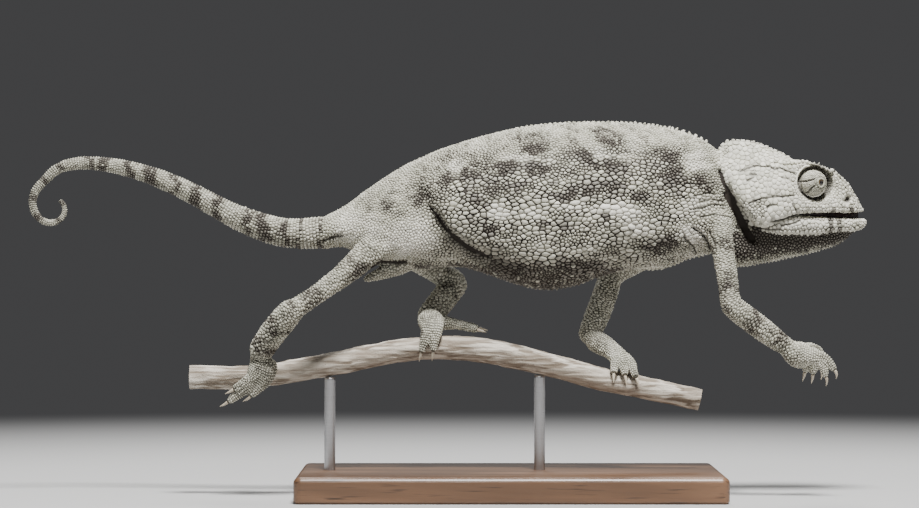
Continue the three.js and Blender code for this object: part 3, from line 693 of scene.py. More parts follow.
def make_skin(material):
    """Joins the flesh by a remesh, smooths it, presses in creases and nostrils, and thins its mesh."""
    form_points, form_faces, charts = join_forms(FORMS)
    rough = bpy.data.objects.new("flesh", make_mesh("flesh", form_points, form_faces))
    bpy.context.collection.objects.link(rough)
    remesh = rough.modifiers.new("one_skin", "REMESH")
    remesh.mode = "VOXEL"
    remesh.voxel_size = VOXEL * MM
    mesh = applied(rough)
    smooth_skin(mesh)
    points, normals = mesh_points(mesh)
    sunk, _ = creased(points, normals)
    sunk = sunk + NOSTRIL["depth"] * np.exp(-(nostril_away(points) / NOSTRIL["radius"]) ** 2)
    move_points(mesh, points - normals * sunk[:, None])

    fine = on_head(points)
    dense = bpy.data.objects.new("dense", mesh)
    bpy.context.collection.objects.link(dense)
    plain = dense.vertex_groups.new(name="plain")
    for share in (0, 1):
        picked = np.flatnonzero((fine < 0.5) == bool(share))
        plain.add(picked.tolist(), float(share), "REPLACE")
    thin = dense.modifiers.new("thin", "DECIMATE")
    thin.ratio = SKIN_TRIANGLES / (2 * len(mesh.polygons))
    thin.vertex_group = "plain"
    thin.vertex_group_factor = 1
    mesh = applied(dense)
    mesh.name = "skin"
    piece = add_piece("skin", mesh, material)
    piece.vertex_groups.clear()
    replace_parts(piece, *FLESH_NODES)
    return piece, form_points, charts


def applied(working):
    """The mesh of an object with its modifiers worked out; the object itself is removed."""
    graph = bpy.context.evaluated_depsgraph_get()
    mesh = bpy.data.meshes.new_from_object(working.evaluated_get(graph))
    bpy.data.objects.remove(working)
    return mesh


EXTRA_NODES = ("right_eye", "left_eye", "perch_branch", "stand_rod_rear", "stand_rod_front", "stand_base")
FLESH_NODES = [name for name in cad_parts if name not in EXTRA_NODES]
FORMS = flesh_forms()
PARTS = [name for name, *_ in FORMS]
PART = {name: i for i, name in reversed(list(enumerate(PARTS)))}
LIMBS = [PART[name] for name in LEG_TUBES]

# ---------------------------------------------------------------- markings

# Dark blotches and pale patches on the flank: X, Z, half length, half height and strength, pale below 0.
BLOTCHES = [
    (6.6, 93.1, 2.6, 1.2, 0.9), (6.2, 95.8, 4.5, 2.2, 0.4), (19.7, 91.2, 2.1, 1.6, 0.95),
    (27.4, 94.8, 3, 1, 0.8), (25.9, 97.2, 4.5, 1.8, 0.4), (42.8, 91.6, 1.8, 1.5, 0.85),
    (43.3, 86.1, 3.2, 2.6, 0.5), (49.6, 85.6, 3, 2, 0.5), (-0.6, 88, 2.6, 2, 0.9),
    (6.6, 88, 2.4, 2.2, 0.75), (-11.7, 87.1, 2.6, 2, 0.55), (-17, 85.1, 1.8, 1.4, 0.7),
    (14.4, 80.3, 2.4, 1.3, 0.95), (16.8, 82.7, 1.8, 1.2, 0.8), (20.6, 81.5, 2.2, 1.1, 0.85),
    (26, 88.5, 5, 1.8, 0.6), (25, 83.7, 3, 1.5, 0.6), (34.1, 80.3, 2.2, 1.6, 0.9),
    (27.4, 80.3, 2.4, 1.2, 0.6), (14.4, 74.5, 1.5, 1.1, 0.8), (9.1, 73.5, 1.5, 1.1, 0.7),
    (25.9, 75, 1.9, 1.1, 0.85), (-5.4, 72.1, 1.9, 1.3, 0.8), (43.3, 68.3, 3.2, 2.2, 0.95),
    (38, 67, 3, 1.2, 0.8), (1.8, 83.2, 1.6, 0.9, 0.6), (-24.5, 80.5, 3.2, 2.6, 0.55),
    (-34, 78, 2, 1.4, 0.4), (36, 79.8, 1.8, 0.9, 0.7), (42, 91.6, 1.5, 0.8, 0.6), (29.6, 89, 0.9, 0.8, 0.6),
    (51.5, 83.5, 3.5, 1.2, 0.5), (3.3, 91, 5, 1.5, -0.6), (23.5, 91.9, 3, 1.6, -0.5),
    (29.3, 76.8, 8, 2.2, -0.7), (14.9, 77.9, 5, 1.4, -0.6), (-3, 76.4, 4, 2, -0.7),
    (6.2, 75.6, 4, 1.3, -0.5), (48.6, 70.7, 4, 2.5, -0.8), (50, 89.5, 4, 3, -0.6),
    (-14.6, 88.6, 3, 1.6, -0.6), (-27, 70, 7, 5, -0.55), (-42, 72, 6, 5, -0.4), (48, 78, 5, 3.5, -0.5),
    (36, 72.5, 6, 1.8, -0.5),
]

# Dark bands across the tail and bars across the lips: X and half width.
TAIL_BANDS = [(-50.3, 0.8), (-56.4, 0.6), (-60, 0.5), (-66.4, 1.5), (-70.2, 0.9), (-78.8, 1.5), (-84.8, 1.1),
              (-91, 1.1), (-97.4, 1.5), (-103.4, 1), (-110.2, 1.2), (-113.8, 0.8)]
UPPER_LIP_BARS = [(86.8, 0.55), (91.8, 0.5)]
LOWER_LIP_BARS = [(85.9, 0.75), (88.6, 0.7)]


def cloud(points, size, seed):
    """A soft random field from -1 to 1: sines along three turned ways, each bent by the others."""
    turn = np.random.default_rng(seed).normal(size=(6, 3))
    turn = unit(turn) * 2 * np.pi / size
    waves = points @ turn.T
    bent = np.sin(waves[:, :3] + 1.7 * np.sin(waves[:, 3:] * 0.6))
    return bent.mean(axis=1) * 1.4


def bars(x, places):
    """1 in the middle of each bar at its place along X, falling steeply to 0 past its half width."""
    return sum(np.exp(-((x - at) / half) ** 4) for at, half in places)


def marking(points, part, u):
    """How dark the coat is, from pale at -1 to dark at 1, from its place, its part and how far along it.
    Painted shade darkens the belly's underside and the throat's upper band.
    """
    plain_x, plain_z = points[:, 0], points[:, 2]
    x = plain_x + 0.9 * cloud(points, 5, 1) + 0.35 * cloud(points, 1.6, 8)
    z = plain_z + 0.7 * cloud(points, 4, 2) + 0.3 * cloud(points, 1.4, 9)
    dark = 0.16 * cloud(points, 14, 3) + 0.12 * cloud(points, 3, 4)
    if part == "body":
        wavering = np.stack([x, points[:, 1], z], -1)
        for *blotch, strength in BLOTCHES:
            dark = dark + 1.3 * strength * np.exp(-ellipse(wavering, *blotch) ** 1.5)
        band = np.exp(-(((plain_z - 84) / 9) ** 2)) * ramp(plain_x, 56, -8)
        mottle = np.clip(cloud(points * np.array([1, 1, 0.45]), 2.4, 21), 0, 1)
        dark = dark + 0.2 * band * ramp(plain_x, -26, 8) + ramp(plain_z, 90, 6) * (0.45 * mottle - 0.25)
        # painted shade: the coat darkens below a line along the belly, where its underside lies in shadow
        keel = np.interp(x, [-10, 4, 14, 22, 32, 38, 45, 48], [64, 64, 65, 66, 61.5, 60.5, 62.7, 64.5])
        dark = dark + 0.85 * np.clip((keel - z) / 3, 0, 1)
    elif part == "tail":
        straight = plain_x > -117
        dark = dark + 0.95 * straight * bars(x - 0.07 * (z - 80), TAIL_BANDS)
        turns = 0.5 + 0.5 * np.cos((u - 0.66) * 2 * np.pi / 0.055)
        dark = dark + np.where(straight, 0, 0.7 * turns**4)
    elif part in LEG_TUBES:
        rings = 0.5 + 0.5 * np.cos((u * 2.6 + 0.15 * cloud(points, 6, 5)) * 2 * np.pi)
        dark = dark + (0.15 if part.startswith("left") else 0.5) * rings**3
    elif part == "head":
        speckle = 0.5 * np.clip(cloud(points, 1.1, 51) + 0.6 * cloud(points, 4.5, 52) - 0.1, 0, 1)
        dark = dark * 0.6 - 0.45 + speckle + 1.3 * bars(plain_x, UPPER_LIP_BARS) * (plain_z < 78)
    elif part == "jaw":
        tip = bars(plain_x, [(93.4, 1.1)]) * (0.5 + 0.5 * cloud(points, 1.5, 41))
        dark = dark * 0.6 - 0.4 + 1.3 * bars(plain_x, LOWER_LIP_BARS) + 0.9 * tip
    elif part == "throat":
        # painted shade: the throat is painted darker towards its top, where the jaw's shadow falls
        upper = (plain_z - np.interp(plain_x, [60, 90], [63, 68])) / 3
        dark = dark + 0.3 + 1.3 * np.clip(upper, -0.2, 1)
    return dark


# ---------------------------------------------------------------- roots of the scales


class Roots:
    """Where scales grow: place, way they lie, length, width, chart place, height and shape, by part."""

    KEYS = ("points", "ways", "long", "wide", "part", "u", "v", "height", "pointed", "square")

    def __init__(self):
        self.groups = []

    def add(self, part, found, height=1.0, pointed=0.0, square=1.0):
        """Takes in one group; square is 1 for scales that keep a block's shape and 0 for loose ones."""
        points, ways, long, wide, u, v = found
        full = np.ones(len(points))
        self.groups.append(dict(zip(self.KEYS, (points, ways, long * full, wide * full, part * full, u, v,
                                                height * full, pointed * full, square * full))))

    def table(self):
        """All groups in one, as an array for each key."""
        return {key: np.concatenate([group[key] for group in self.groups]) for key in self.KEYS}


def along_curve(curve, step):
    """Places on a curve given as an array of points, step counted in its points."""
    return np.stack([np.interp(step, np.arange(len(curve)), curve[:, n]) for n in range(3)], -1)


def rows_of_roots(curves, lengths, widths, along_u, along_v, uneven, closed=False):
    """Scales end to end along each curve of (rows, steps, 3), their lengths uneven by a share."""
    found = []
    for row, curve in enumerate(curves):
        steps = np.linalg.norm(np.diff(curve, axis=0), axis=1)
        count = np.concatenate([[0], np.cumsum(steps * 2 / (lengths[row, 1:] + lengths[row, :-1]))])
        whole = max(2, int(round(count[-1])))
        ends = (np.arange(whole + 1) + rng.uniform(-uneven, uneven, whole + 1) / 2) * count[-1] / whole
        ends[-1] = ends[0] + count[-1]
        ends = ends + (rng.random() if closed else 0.0)
        middle = (ends[1:] + ends[:-1]) / 2
        middle = middle % count[-1] if closed else np.clip(middle, 0, count[-1])
        step = np.interp(middle, count, np.arange(len(curve)))
        place = along_curve(curve, step)
        ahead = along_curve(curve, np.minimum(step + 0.5, len(curve) - 1))
        behind = along_curve(curve, np.maximum(step - 0.5, 0))
        local = np.interp(middle, count, lengths[row])
        across = np.interp(middle, count, widths[row])
        u, v = (np.interp(step, np.arange(len(curve)), along[row]) for along in (along_u, along_v))
        found.append((place, unit(ahead - behind), np.diff(ends) * local, across, u, v))
    return [np.concatenate(column) for column in zip(*found)]


def whorls(place, length, pitch, spacing, span=(0.0, 1.0), steps=64):
    """Rows that run round a form, pitch apart along it; pitch and spacing may change with u."""
    places = [span[0]]
    while places[-1] < span[1]:
        places.append(places[-1] + pitch(places[-1]) / length)
    u = np.array(places[:-1])[:, None]
    v = np.linspace(0, 1, steps)[None]
    waver = 0.12 * pitch(0.5) / length * np.sin(2 * np.pi * v * 2 + 9 * u)
    grid = place(np.clip(u + waver, 0, 1), v + 0 * u, -COAT_DEPTH)
    lengths = np.array([[spacing(at)] for at in u[:, 0]]) + 0 * v
    widths = np.array([[pitch(at)] for at in u[:, 0]]) + 0 * v
    return rows_of_roots(grid, lengths, widths, u + 0 * v, v + 0 * u, 0.35, closed=True)


def body_pitch(share):
    """Rows are close on the back, widest on the flank and close again on the belly."""
    return np.interp(share, [0, 0.24, 0.34, 0.45, 0.75, 0.9, 1], [0.64, 0.68, 0.84, 0.98, 0.94, 0.8, 0.74])


def bead_row(place, us, vs, size):
    """One row of beads at given places along and round a form."""
    points = place(us, vs, -COAT_DEPTH)
    ways = unit(np.gradient(points, axis=0))
    return points, ways, size + 0 * us, size + 0 * us, us, vs % 1


def in_cheek_patch(points):
    """Which points lie in the cheek's oval patch of small dark-rimmed scales."""
    return ellipse(points, 65.4, 77.3, 3, 2.2) < 1


def plate_size(points):
    """How wide the scattered plates of the head, throat and feet are, by their place."""
    x, z = points[:, 0], points[:, 2]
    size = np.interp(x, [60, 70, 80, 88, 92, 95], [1.22, 1.16, 1.0, 0.86, 0.68, 0.52])
    orbit = np.hypot(x - ORBIT["x"], z - ORBIT["z"]) - ORBIT["radius"]
    size = np.where((orbit < 1.2) & (z > 77.6), 0.62, size)
    size = np.where(orbit < -0.4, 0.5, size)
    size = np.where(in_cheek_patch(points), 0.66, size)
    size = np.where(z < 72.4, 0.68, size)
    size = np.where(x < 58.5, np.minimum(size, 0.9), size)
    return np.where(z < 60, 0.66, size)


def body_scale_size(points, v, mark):
    """Small granules on the back and belly, hips and chest; uneven plates on the flank, small in blotches."""
    size = body_pitch(2 * np.minimum(v, 1 - v))
    size = size * np.interp(points[:, 0], [-45, -25, -12, 40, 50, 60], [0.6, 0.66, 1, 1, 0.8, 0.66])
    thigh = points[:, 0] < np.interp(points[:, 2], [63.2, 66.4, 70.2, 75.6, 80],
                                     [-3.4, -7.6, -15.2, -19.6, -26])
    size = np.where(thigh, np.minimum(size, 0.74), size)
    uneven = 1 + 0.26 * cloud(points * np.array([0.5, 1, 1]), 4, 31) - 0.16 * mark
    return np.clip(np.where(size > 0.76, size * uneven, size), 0.64, 1.6)


SCATTERED = ("body", "head", "jaw", "throat", "heel", "fold", *LEG_TUBES)
HIP = 0.2  # how far along a limb's upper length the body's own scales run on over it
SPOTS_PER_MM2 = 12.0
LEAST_REACH = 0.12  # from a scale's root to its edge
LIMB_SCALES = {"fore": (0.56, 1.75), "hind": (0.64, 1.5)}  # width, and how much longer round the limb


def sampled(mesh, density):
    """Random places on a mesh's faces, so many to the square millimetre, and the normals there."""
    points, normals = mesh_points(mesh)
    mesh.calc_loop_triangles()
    corners = np.empty(len(mesh.loop_triangles) * 3, np.int32)
    mesh.loop_triangles.foreach_get("vertices", corners)
    corners = corners.reshape(-1, 3)
    a, b, c = (points[corners[:, n]] for n in range(3))
    area = np.linalg.norm(np.cross(b - a, c - a), axis=1) / 2
    pick = np.repeat(np.arange(len(area)), rng.poisson(area * density))
    s, t = np.sort(rng.random((2, len(pick))), axis=0)
    spots = a[pick] * s[:, None] + b[pick] * (t - s)[:, None] + c[pick] * (1 - t)[:, None]
    return spots, unit(normals[corners[pick]].mean(axis=1))


def charted(points, form_points, charts):
    """Part and place on its chart of the form nearest to each point; the neck parts body from head."""
    tree = tree_of(form_points)
    own = charts[[tree.find(point)[1] for point in points]]
    behind = behind_neck(points)
    upper = np.isin(own[:, 0], [PART[name] for name in LEG_TUBES if name.endswith("upper")])
    to_body = (own[:, 0] == PART["head"]) & behind | upper & (own[:, 1] < HIP)
    to_head = (own[:, 0] == PART["body"]) & ~behind & (points[:, 2] > 70)
    for there, wrong in (("body", np.flatnonzero(to_body)), ("head", np.flatnonzero(to_head))):
        theirs = np.flatnonzero(charts[:, 0] == PART[there])
        tree = tree_of(form_points[theirs])
        own[wrong] = charts[theirs[[tree.find(points[i])[1] for i in wrong]]]
    return own


def scatter(mesh, form_points, charts):
    """Candidate roots on the skin of the scattered parts, in a random order, more where scales are small."""
    spots, normals = sampled(mesh, SPOTS_PER_MM2)
    own = charted(spots, form_points, charts)
    size, ways = plate_size(spots), np.tile([1.0, 0, 0], (len(spots), 1))
    body = own[:, 0] == PART["body"]
    here, u, v = spots[body], own[body, 1], own[body, 2]
    size[body] = body_scale_size(here, v, marking(here, "body", u))
    ways[body] = unit(body_place(np.minimum(u + 0.01, 1), v) - body_place(np.maximum(u - 0.01, 0), v))
    stretch = np.where(body, np.interp(size, [0.7, 0.9], [1.0, 1.6]), 1.0)
    for name, tube in LEG_TUBES.items():
        mine = own[:, 0] == PART[name]
        u, v = own[mine, 1], own[mine, 2]
        ways[mine] = unit(tube.place(u, v + 0.01) - tube.place(u, v - 0.01))
        size[mine], stretch[mine] = LIMB_SCALES["fore" if "fore" in name else "hind"]
    limb = np.isin(own[:, 0], LIMBS)
    wanted = np.isin(own[:, 0], [PART[name] for name in SCATTERED])
    wanted &= rng.random(len(spots)) < 0.5 / size**2
    keep = rng.permutation(np.flatnonzero(wanted & ~on_crease(spots, 0.2)))
    table = {"points": spots, "normals": normals, "ways": ways, "long": size * stretch, "wide": size,
             "part": own[:, 0], "u": own[:, 1], "v": own[:, 2],
             "height": np.where(body, np.where(size > 0.8, 0.8, 0.95),
                                np.where(limb, 1.1, np.where(size > 0.8, 0.5, 0.85))),
             "pointed": 0 * size, "square": 0 * size}
    return {key: values[keep] for key, values in table.items()}


# Rows of beads that keep their place: part, places round it, from and to along it, how many, their size,
# their height and how pointed they are. A size or height that changes is places along it and its values.
BEAD_ROWS = [
    ("body", (0,), 0.5, 0.86, 46, 1.15, ([0.62, 0.82], [1.1, 2.2]), 1),
    ("body", (0.5,), 0.3, 0.86, 62, 0.85, 1.3, 0.8),
    ("head", (0.1, 0.9), 0.33, 0.88, 27, ([0.33, 0.5, 0.62, 0.88], [0.95, 1.1, 1.15, 0.85]),
     ([0.33, 0.55, 0.7, 0.88], [1.1, 1.3, 1.4, 0.9]), 0.2),
    ("head", (0,), 0.03, 0.4, 19, 0.95, 1.2, 0.4),
    ("head", (0.386, 0.614), 0.36, 0.93, 27, 0.86, 0.85, 0),
    ("jaw", (0.16, 0.84), 0.26, 0.9, 34, 0.82, 0.8, 0),
    ("jaw", (0.345, 0.655), 0.12, 0.75, 24, 1.1, 1.25, 0.3),
    ("throat", (0.5,), 0.08, 0.95, 46, 0.85, 1.4, 0.9),
]


def explicit_rows(roots):
    """The beads that keep their place: ridge, keel, brow, casque, lips, jaw, throat and nostril rims."""
    for name, rounds, begin, finish, count, size, rise, pointed in BEAD_ROWS:
        u = np.linspace(begin, finish, count)
        size, rise = (np.interp(u, *value) if isinstance(value, tuple) else value for value in (size, rise))
        for v in rounds:
            roots.add(PART[name], bead_row(FORMS[PART[name]][1], u, v + 0 * u, size), rise, pointed, 0.0)
    turn = np.arange(9) / 9 * 2 * np.pi
    for side in (-1, 1):
        ring = np.stack([NOSTRIL["x"] + 1.45 * np.cos(turn), side * (4.5 - 0.6 * np.cos(turn)),
                         NOSTRIL["z"] + 1.4 * np.sin(turn)], -1)
        found = (ring, np.roll(ring, -1, 0) - ring, np.full(9, 0.95), np.full(9, 0.95), 0.75 + 0 * turn,
                 0.5 - 0.2 * side + 0.02 * np.sin(turn))
        roots.add(PART["head"], found, 1.1, 0.2, 0.0)


def gather_roots():
    """Roots in rows, part by part, in order of who keeps a place when two claim it."""
    roots = Roots()
    explicit_rows(roots)
    for i, (name, place, _, _) in enumerate(FORMS):
        if name == "turret":
            roots.add(i, whorls(place, 9.4, lambda at: 0.5, lambda at: 0.62 - 0.25 * at, (0.3, 0.93)), 0.7)
        elif name == "tail":
            found = whorls(place, TAIL.length, lambda at: 0.92 - 0.42 * at, lambda at: 0.92 - 0.45 * at)
            roots.add(i, found, 0.85)
        elif name == "toe":
            length = place.__self__.length
            roots.add(i, whorls(place, length, lambda at: 0.6, lambda at: 0.68, (0.02, 0.97)), 0.8)
    return roots


def tree_of(points):
    """A search tree over points."""
    tree = KDTree(len(points))
    for i, point in enumerate(points):
        tree.insert(point, i)
    tree.balance()
    return tree


def nearest_on(surface, points):
    """The nearest places on a surface, their normals and how far they are."""
    found = [surface.find_nearest(point) for point in points]
    return (np.array([hit[0] for hit in found]), np.array([hit[1] for hit in found]),
            np.array([hit[3] for hit in found]))


def span(table):
    """Each scale's size across, and how many times longer its share is; scales in whorls have a block."""
    loose = table["square"] == 0
    size = np.where(loose, table["wide"], (table["long"] + table["wide"]) / 2)
    return size, np.where(loose, table["long"] / table["wide"], 1.0)


def uncrowded(table):
    """Which roots to keep, in order: one too near an earlier one goes. Scattered ones keep farther apart."""
    size, stretch = span(table)
    reach = (size * np.where(table["square"] > 0, 0.31, 0.43)).tolist()
    tree = tree_of(table["points"])
    alive = np.ones(len(size), bool)
    points, ways = table["points"].tolist(), table["ways"].tolist()
    for i, (point, way, longer) in enumerate(zip(points, ways, stretch.tolist())):
        if alive[i]:
            for _, j, far in tree.find_range(point, (2.3 * reach[i] + 0.1) * longer):
                if j > i and alive[j]:
                    along = sum((b - a) * w for a, b, w in zip(point, points[j], way))
                    near = far * far - along * along * (1 - longer**-2)
                    if near < (reach[i] + reach[j]) ** 2:
                        alive[j] = False
    return {key: values[alive] for key, values in table.items()}


def settled_roots(mesh, form_points, charts):
    """Rows and scattered roots put on the skin, thinned where crowded, the scattered ones spread evenly."""
    points, _ = mesh_points(mesh)
    surface = BVHTree.FromPolygons(points.tolist(), [tuple(face.vertices) for face in mesh.polygons])
    table = gather_roots().table()
    places, normals, far = nearest_on(surface, table["points"])
    row_of_beads = table["square"] == 0
    keep = (far < np.where(row_of_beads, 1.6, 1.25)) & (row_of_beads | ~on_crease(places, 0.14))
    table = {key: values[keep] for key, values in table.items()}
    table["points"], table["normals"] = places[keep], normals[keep]
    loose = scatter(mesh, form_points, charts)
    table = uncrowded({key: np.concatenate([table[key], loose[key]]) for key in table})
    table["part"] = table["part"].astype(int)
    table = relax_roots(table, surface, 3)
    crowded = on_crease(table["points"], 0.08) & (table["pointed"] == 0)
    return {key: values[~crowded] for key, values in table.items()}


def cells(table, directions, nearest=13):
    """Each root's share of the skin: how far it reaches each way before a neighbour's share begins."""
    points, normals = table["points"], table["normals"]
    sizes, stretch = span(table)
    tree = tree_of(points)
    close = np.array([[j for _, j, _ in tree.find_n(point, nearest + 1)][1:] for point in points])
    first = unit(table["ways"] - normals * np.sum(table["ways"] * normals, 1, keepdims=True))
    second = np.cross(normals, first)
    offsets = points[close] - points[:, None]
    flat = np.stack([np.einsum("nkc,nc->nk", offsets, first) / stretch[:, None],
                     np.einsum("nkc,nc->nk", offsets, second)], -1)
    first = first * stretch[:, None]
    share = sizes[:, None] / (sizes[:, None] + sizes[close])
    reach_to = np.sum(flat**2, -1) * share
    turn = np.arange(directions) / directions * 2 * np.pi
    spokes = np.stack([np.cos(turn), np.sin(turn)])
    towards = flat @ spokes
    limit = np.where(towards > 1e-3, reach_to[..., None] / np.maximum(towards, 1e-3), 9.0).min(axis=1)
    block = 0.5 * ((np.abs(spokes[0]) / table["long"][:, None]) ** 6
                   + (np.abs(spokes[1]) / table["wide"][:, None]) ** 6) ** (-1 / 6)
    squared = np.minimum(1.15 * limit, block)
    loose = np.minimum(limit, 0.85 * sizes[:, None])
    return np.where(table["square"][:, None] > 0, squared, loose), first, second, spokes, close


def clear_of_creases(reach, first, second, spokes, points):
    """Reach cut short where a crease crosses it in the side view, so that scales end at its bare part."""
    ways = first[:, None] * spokes[0][None, :, None] + second[:, None] * spokes[1][None, :, None]
    flat, ways = points[:, [0, 2]], ways[..., [0, 2]]
    for line, _, _, _, bare in CREASES:
        near = np.flatnonzero((away_from_line(points, line) < bare + 2.4) & (np.abs(points[:, 1]) > 2))
        if bare and len(near):
            way = ways[near]
            for start, end in zip(np.array(line[:-1]), np.array(line[1:])):
                edge, gap = end - start, (start - flat[near])[:, None]
                turned = way[..., 0] * edge[1] - way[..., 1] * edge[0]
                turned = np.where(np.abs(turned) < 1e-6, 1e-6, turned)
                ahead = (gap[..., 0] * edge[1] - gap[..., 1] * edge[0]) / turned
                beside = (gap[..., 0] * way[..., 1] - gap[..., 1] * way[..., 0]) / turned
                crossed = (ahead > 0) & (beside > -0.03) & (beside < 1.03)
                short = ahead - bare * np.linalg.norm(edge) / np.abs(turned)
                short = np.maximum(short, LEAST_REACH)
                reach[near] = np.where(crossed, np.minimum(reach[near], short), reach[near])
    return reach


def relax_roots(table, surface, rounds):
    """Moves each scattered root partway to the middle of its share of the skin."""
    for _ in range(rounds):
        reach, first, second, spokes, close = cells(table, 8)
        free = (table["square"] == 0) & (table["pointed"] < 0.3)
        middle = (reach[:, :, None] * spokes.T[None]).mean(axis=1) * free[:, None]
        moved = table["points"] + 0.6 * (first * middle[:, :1] + second * middle[:, 1:])
        places, normals, _ = nearest_on(surface, moved)
        table["points"] = places
        table["normals"] = unit(normals + normals[close[:, :6]].mean(axis=1))
    return table


# ---------------------------------------------------------------- scales

# Kinds of scale: how many sides, and its rings above the foot as shares of its reach and of its height.
PLATES = (12, [(0.985, 0.74), (0.91, 0.97)])
SHIELDS = (10, [(0.98, 0.7), (0.88, 0.96)])
BEADS = (8, [(0.84, 0.68)])


FOOT_DEPTH = 0.16  # how far under the skin a scale's flat foot lies
FULL_SIZE = 0.42  # a scale whose reach is at least this stands at its full height


def make_scales(name, table, atlas, kind, material):
    """Solid scales over the roots: rings of points joined by walls, a fan on top and a flat foot."""
    reach, first, second, spokes = table["reach"], table["first"], table["second"], table["spokes"]
    count, ways = reach.shape
    gap = table["gap_width"][:, None]
    radius = np.maximum(reach - gap, LEAST_REACH)
    mean = radius.mean(axis=1, keepdims=True)
    height = COAT_DEPTH * table["height"] * (0.88 + 0.24 * rng.random(count))
    height = height * np.clip(mean[:, 0] / FULL_SIZE, 0.5, 1.15)
    around = first[:, None] * spokes[0][None, :, None] + second[:, None] * spokes[1][None, :, None]
    tip = table["pointed"][:, None]
    lean_first, lean_second = rng.normal(size=(count, 1)), rng.normal(size=(count, 1))
    tilt = 0.24 * height[:, None] * (spokes[0] * lean_first + spokes[1] * lean_second)
    rings = [(1.0 - 0 * tip, np.full((count, ways), -FOOT_DEPTH), 0.0)]
    rings += [(share - 0.25 * tip * rise, height[:, None] * (rise - 0.15 * tip) + tilt, rise)
              for share, rise in kind[1]]
    levels, crowns, unwrapped = [], [], []
    for share, lift, rise in rings:
        ring = around * (radius * share)[..., None] + table["normals"][:, None] * lift[..., None]
        levels.append(table["points"][:, None] + ring)
        crowns.append(np.full((count, ways), rise))
        unwrapped.append(spokes.T[None] * share[..., None])
    summit = table["points"] + table["normals"] * height[:, None] - first * (mean * 0.1)
    levels.append(summit[:, None])
    crowns.append(np.ones((count, 1)))
    unwrapped.append(np.zeros((count, 1, 2)))
    points = np.concatenate(levels, axis=1)
    per = points.shape[1]

    i = np.arange(ways)
    j = (i + 1) % ways
    loops, starts = [], []
    for level in range(len(levels) - 2):
        low, high = level * ways, (level + 1) * ways
        loops.append(np.stack([low + i, low + j, high + j, high + i], -1).ravel())
        starts.append(np.full(ways, 4))
    top = (len(levels) - 2) * ways
    loops.append(np.stack([top + i, top + j, np.full(ways, per - 1)], -1).ravel())
    starts.append(np.full(ways, 3))
    loops.append(i[::-1])
    starts.append(np.array([ways]))
    pattern, sides = np.concatenate(loops), np.concatenate(starts)
    corners = (pattern[None] + per * np.arange(count)[:, None]).ravel()
    totals = np.tile(sides, count)

    mesh = bpy.data.meshes.new(name)
    mesh.vertices.add(count * per)
    mesh.vertices.foreach_set("co", (points * MM).ravel())
    mesh.loops.add(len(corners))
    mesh.loops.foreach_set("vertex_index", corners.astype(np.int32))
    mesh.polygons.add(len(totals))
    mesh.polygons.foreach_set("loop_start", np.concatenate([[0], np.cumsum(totals)[:-1]]).astype(np.int32))
    mesh.update(calc_edges=True)
    set_attribute(mesh, "marking", np.repeat(table["mark"], per))
    set_attribute(mesh, "crease", np.repeat(table["crease"], per))
    set_attribute(mesh, "gap", np.repeat(table["gap"], per))
    set_attribute(mesh, "shade", np.repeat(rng.random(count), per))
    set_attribute(mesh, "crown", np.concatenate(crowns, axis=1).ravel())
    patch = atlas[:, None] + SCALE_PATCH * np.concatenate(unwrapped, axis=1)
    layer = mesh.uv_layers.new(name="OFBake")
    layer.data.foreach_set("uv", patch.reshape(-1, 2)[corners].astype(np.float32).ravel())
    piece = add_piece(name, mesh, material)
    crisp = np.zeros((count, len(sides)), bool)
    crisp[:, :ways] = len(levels) > 3
    mesh.polygons.foreach_set("use_smooth", ~crisp.ravel())
    return piece


# The panes of the coat's unwrap: left, low, width and height of each. The limbs share a block of small ones.
PART_PANES = {"body": (0.01, 0.45, 0.5, 0.54), "head": (0.01, 0.01, 0.3, 0.42),
              "jaw": (0.33, 0.01, 0.2, 0.2), "throat": (0.33, 0.23, 0.2, 0.2),
              "tail": (0.53, 0.45, 0.46, 0.2), "turret": (0.55, 0.01, 0.1, 0.2)}
SCALE_PATCH = 0.0013  # half the width of a scale's own patch on the unwrap


def atlas_places(table):
    """Where each root lies on the coat's unwrap: its part's own pane, along it and round it."""
    places = np.zeros((len(table["u"]), 2))
    limb = 0
    for i, name in enumerate(PARTS):
        if name in PART_PANES:
            left, low, width, tall = PART_PANES[name]
            left += 0.12 * (name == "turret" and i % 2)
        else:
            left, low = 0.53 + 0.065 * (limb % 7), 0.67 + 0.06 * (limb // 7)
            width, tall, limb = 0.055, 0.05, limb + 1
        mine = table["part"] == i
        places[mine] = np.stack([left + width * table["u"][mine], low + tall * (table["v"][mine] % 1)], -1)
    return places


FINE_SCALE = 0.78  # scales of the body narrower than this are beads, the others plates


def coat_groups(table):
    """Which roots make up each piece of the coat, and the kind of scale they bear."""
    part = np.array([{"turret": "head", "jaw": "head"}.get(name, name) for name in PARTS])[table["part"]]
    left = table["points"][:, 1] > 0
    fine = table["wide"] < FINE_SCALE
    x = table["points"][:, 0]
    groups = {}
    for side, mine in (("right", ~left), ("left", left)):
        body = (part == "body") & mine
        groups[f"coat_back_{side}"] = (body & fine, BEADS)
        groups[f"coat_flank_{side}_front"] = (body & ~fine & (x > 12), PLATES)
        groups[f"coat_flank_{side}_hind"] = (body & ~fine & (x <= 12), PLATES)
        groups[f"coat_head_{side}"] = ((part == "head") & mine, SHIELDS)
    groups["coat_throat"] = (part == "throat", BEADS)
    groups["coat_tail"] = (part == "tail", BEADS)
    limbs = ~np.isin(part, ("body", "head", "throat", "tail"))
    groups["coat_hind_legs"] = (limbs & (x < -8), BEADS)
    groups["coat_fore_legs"] = (limbs & (x >= -8), BEADS)
    return groups


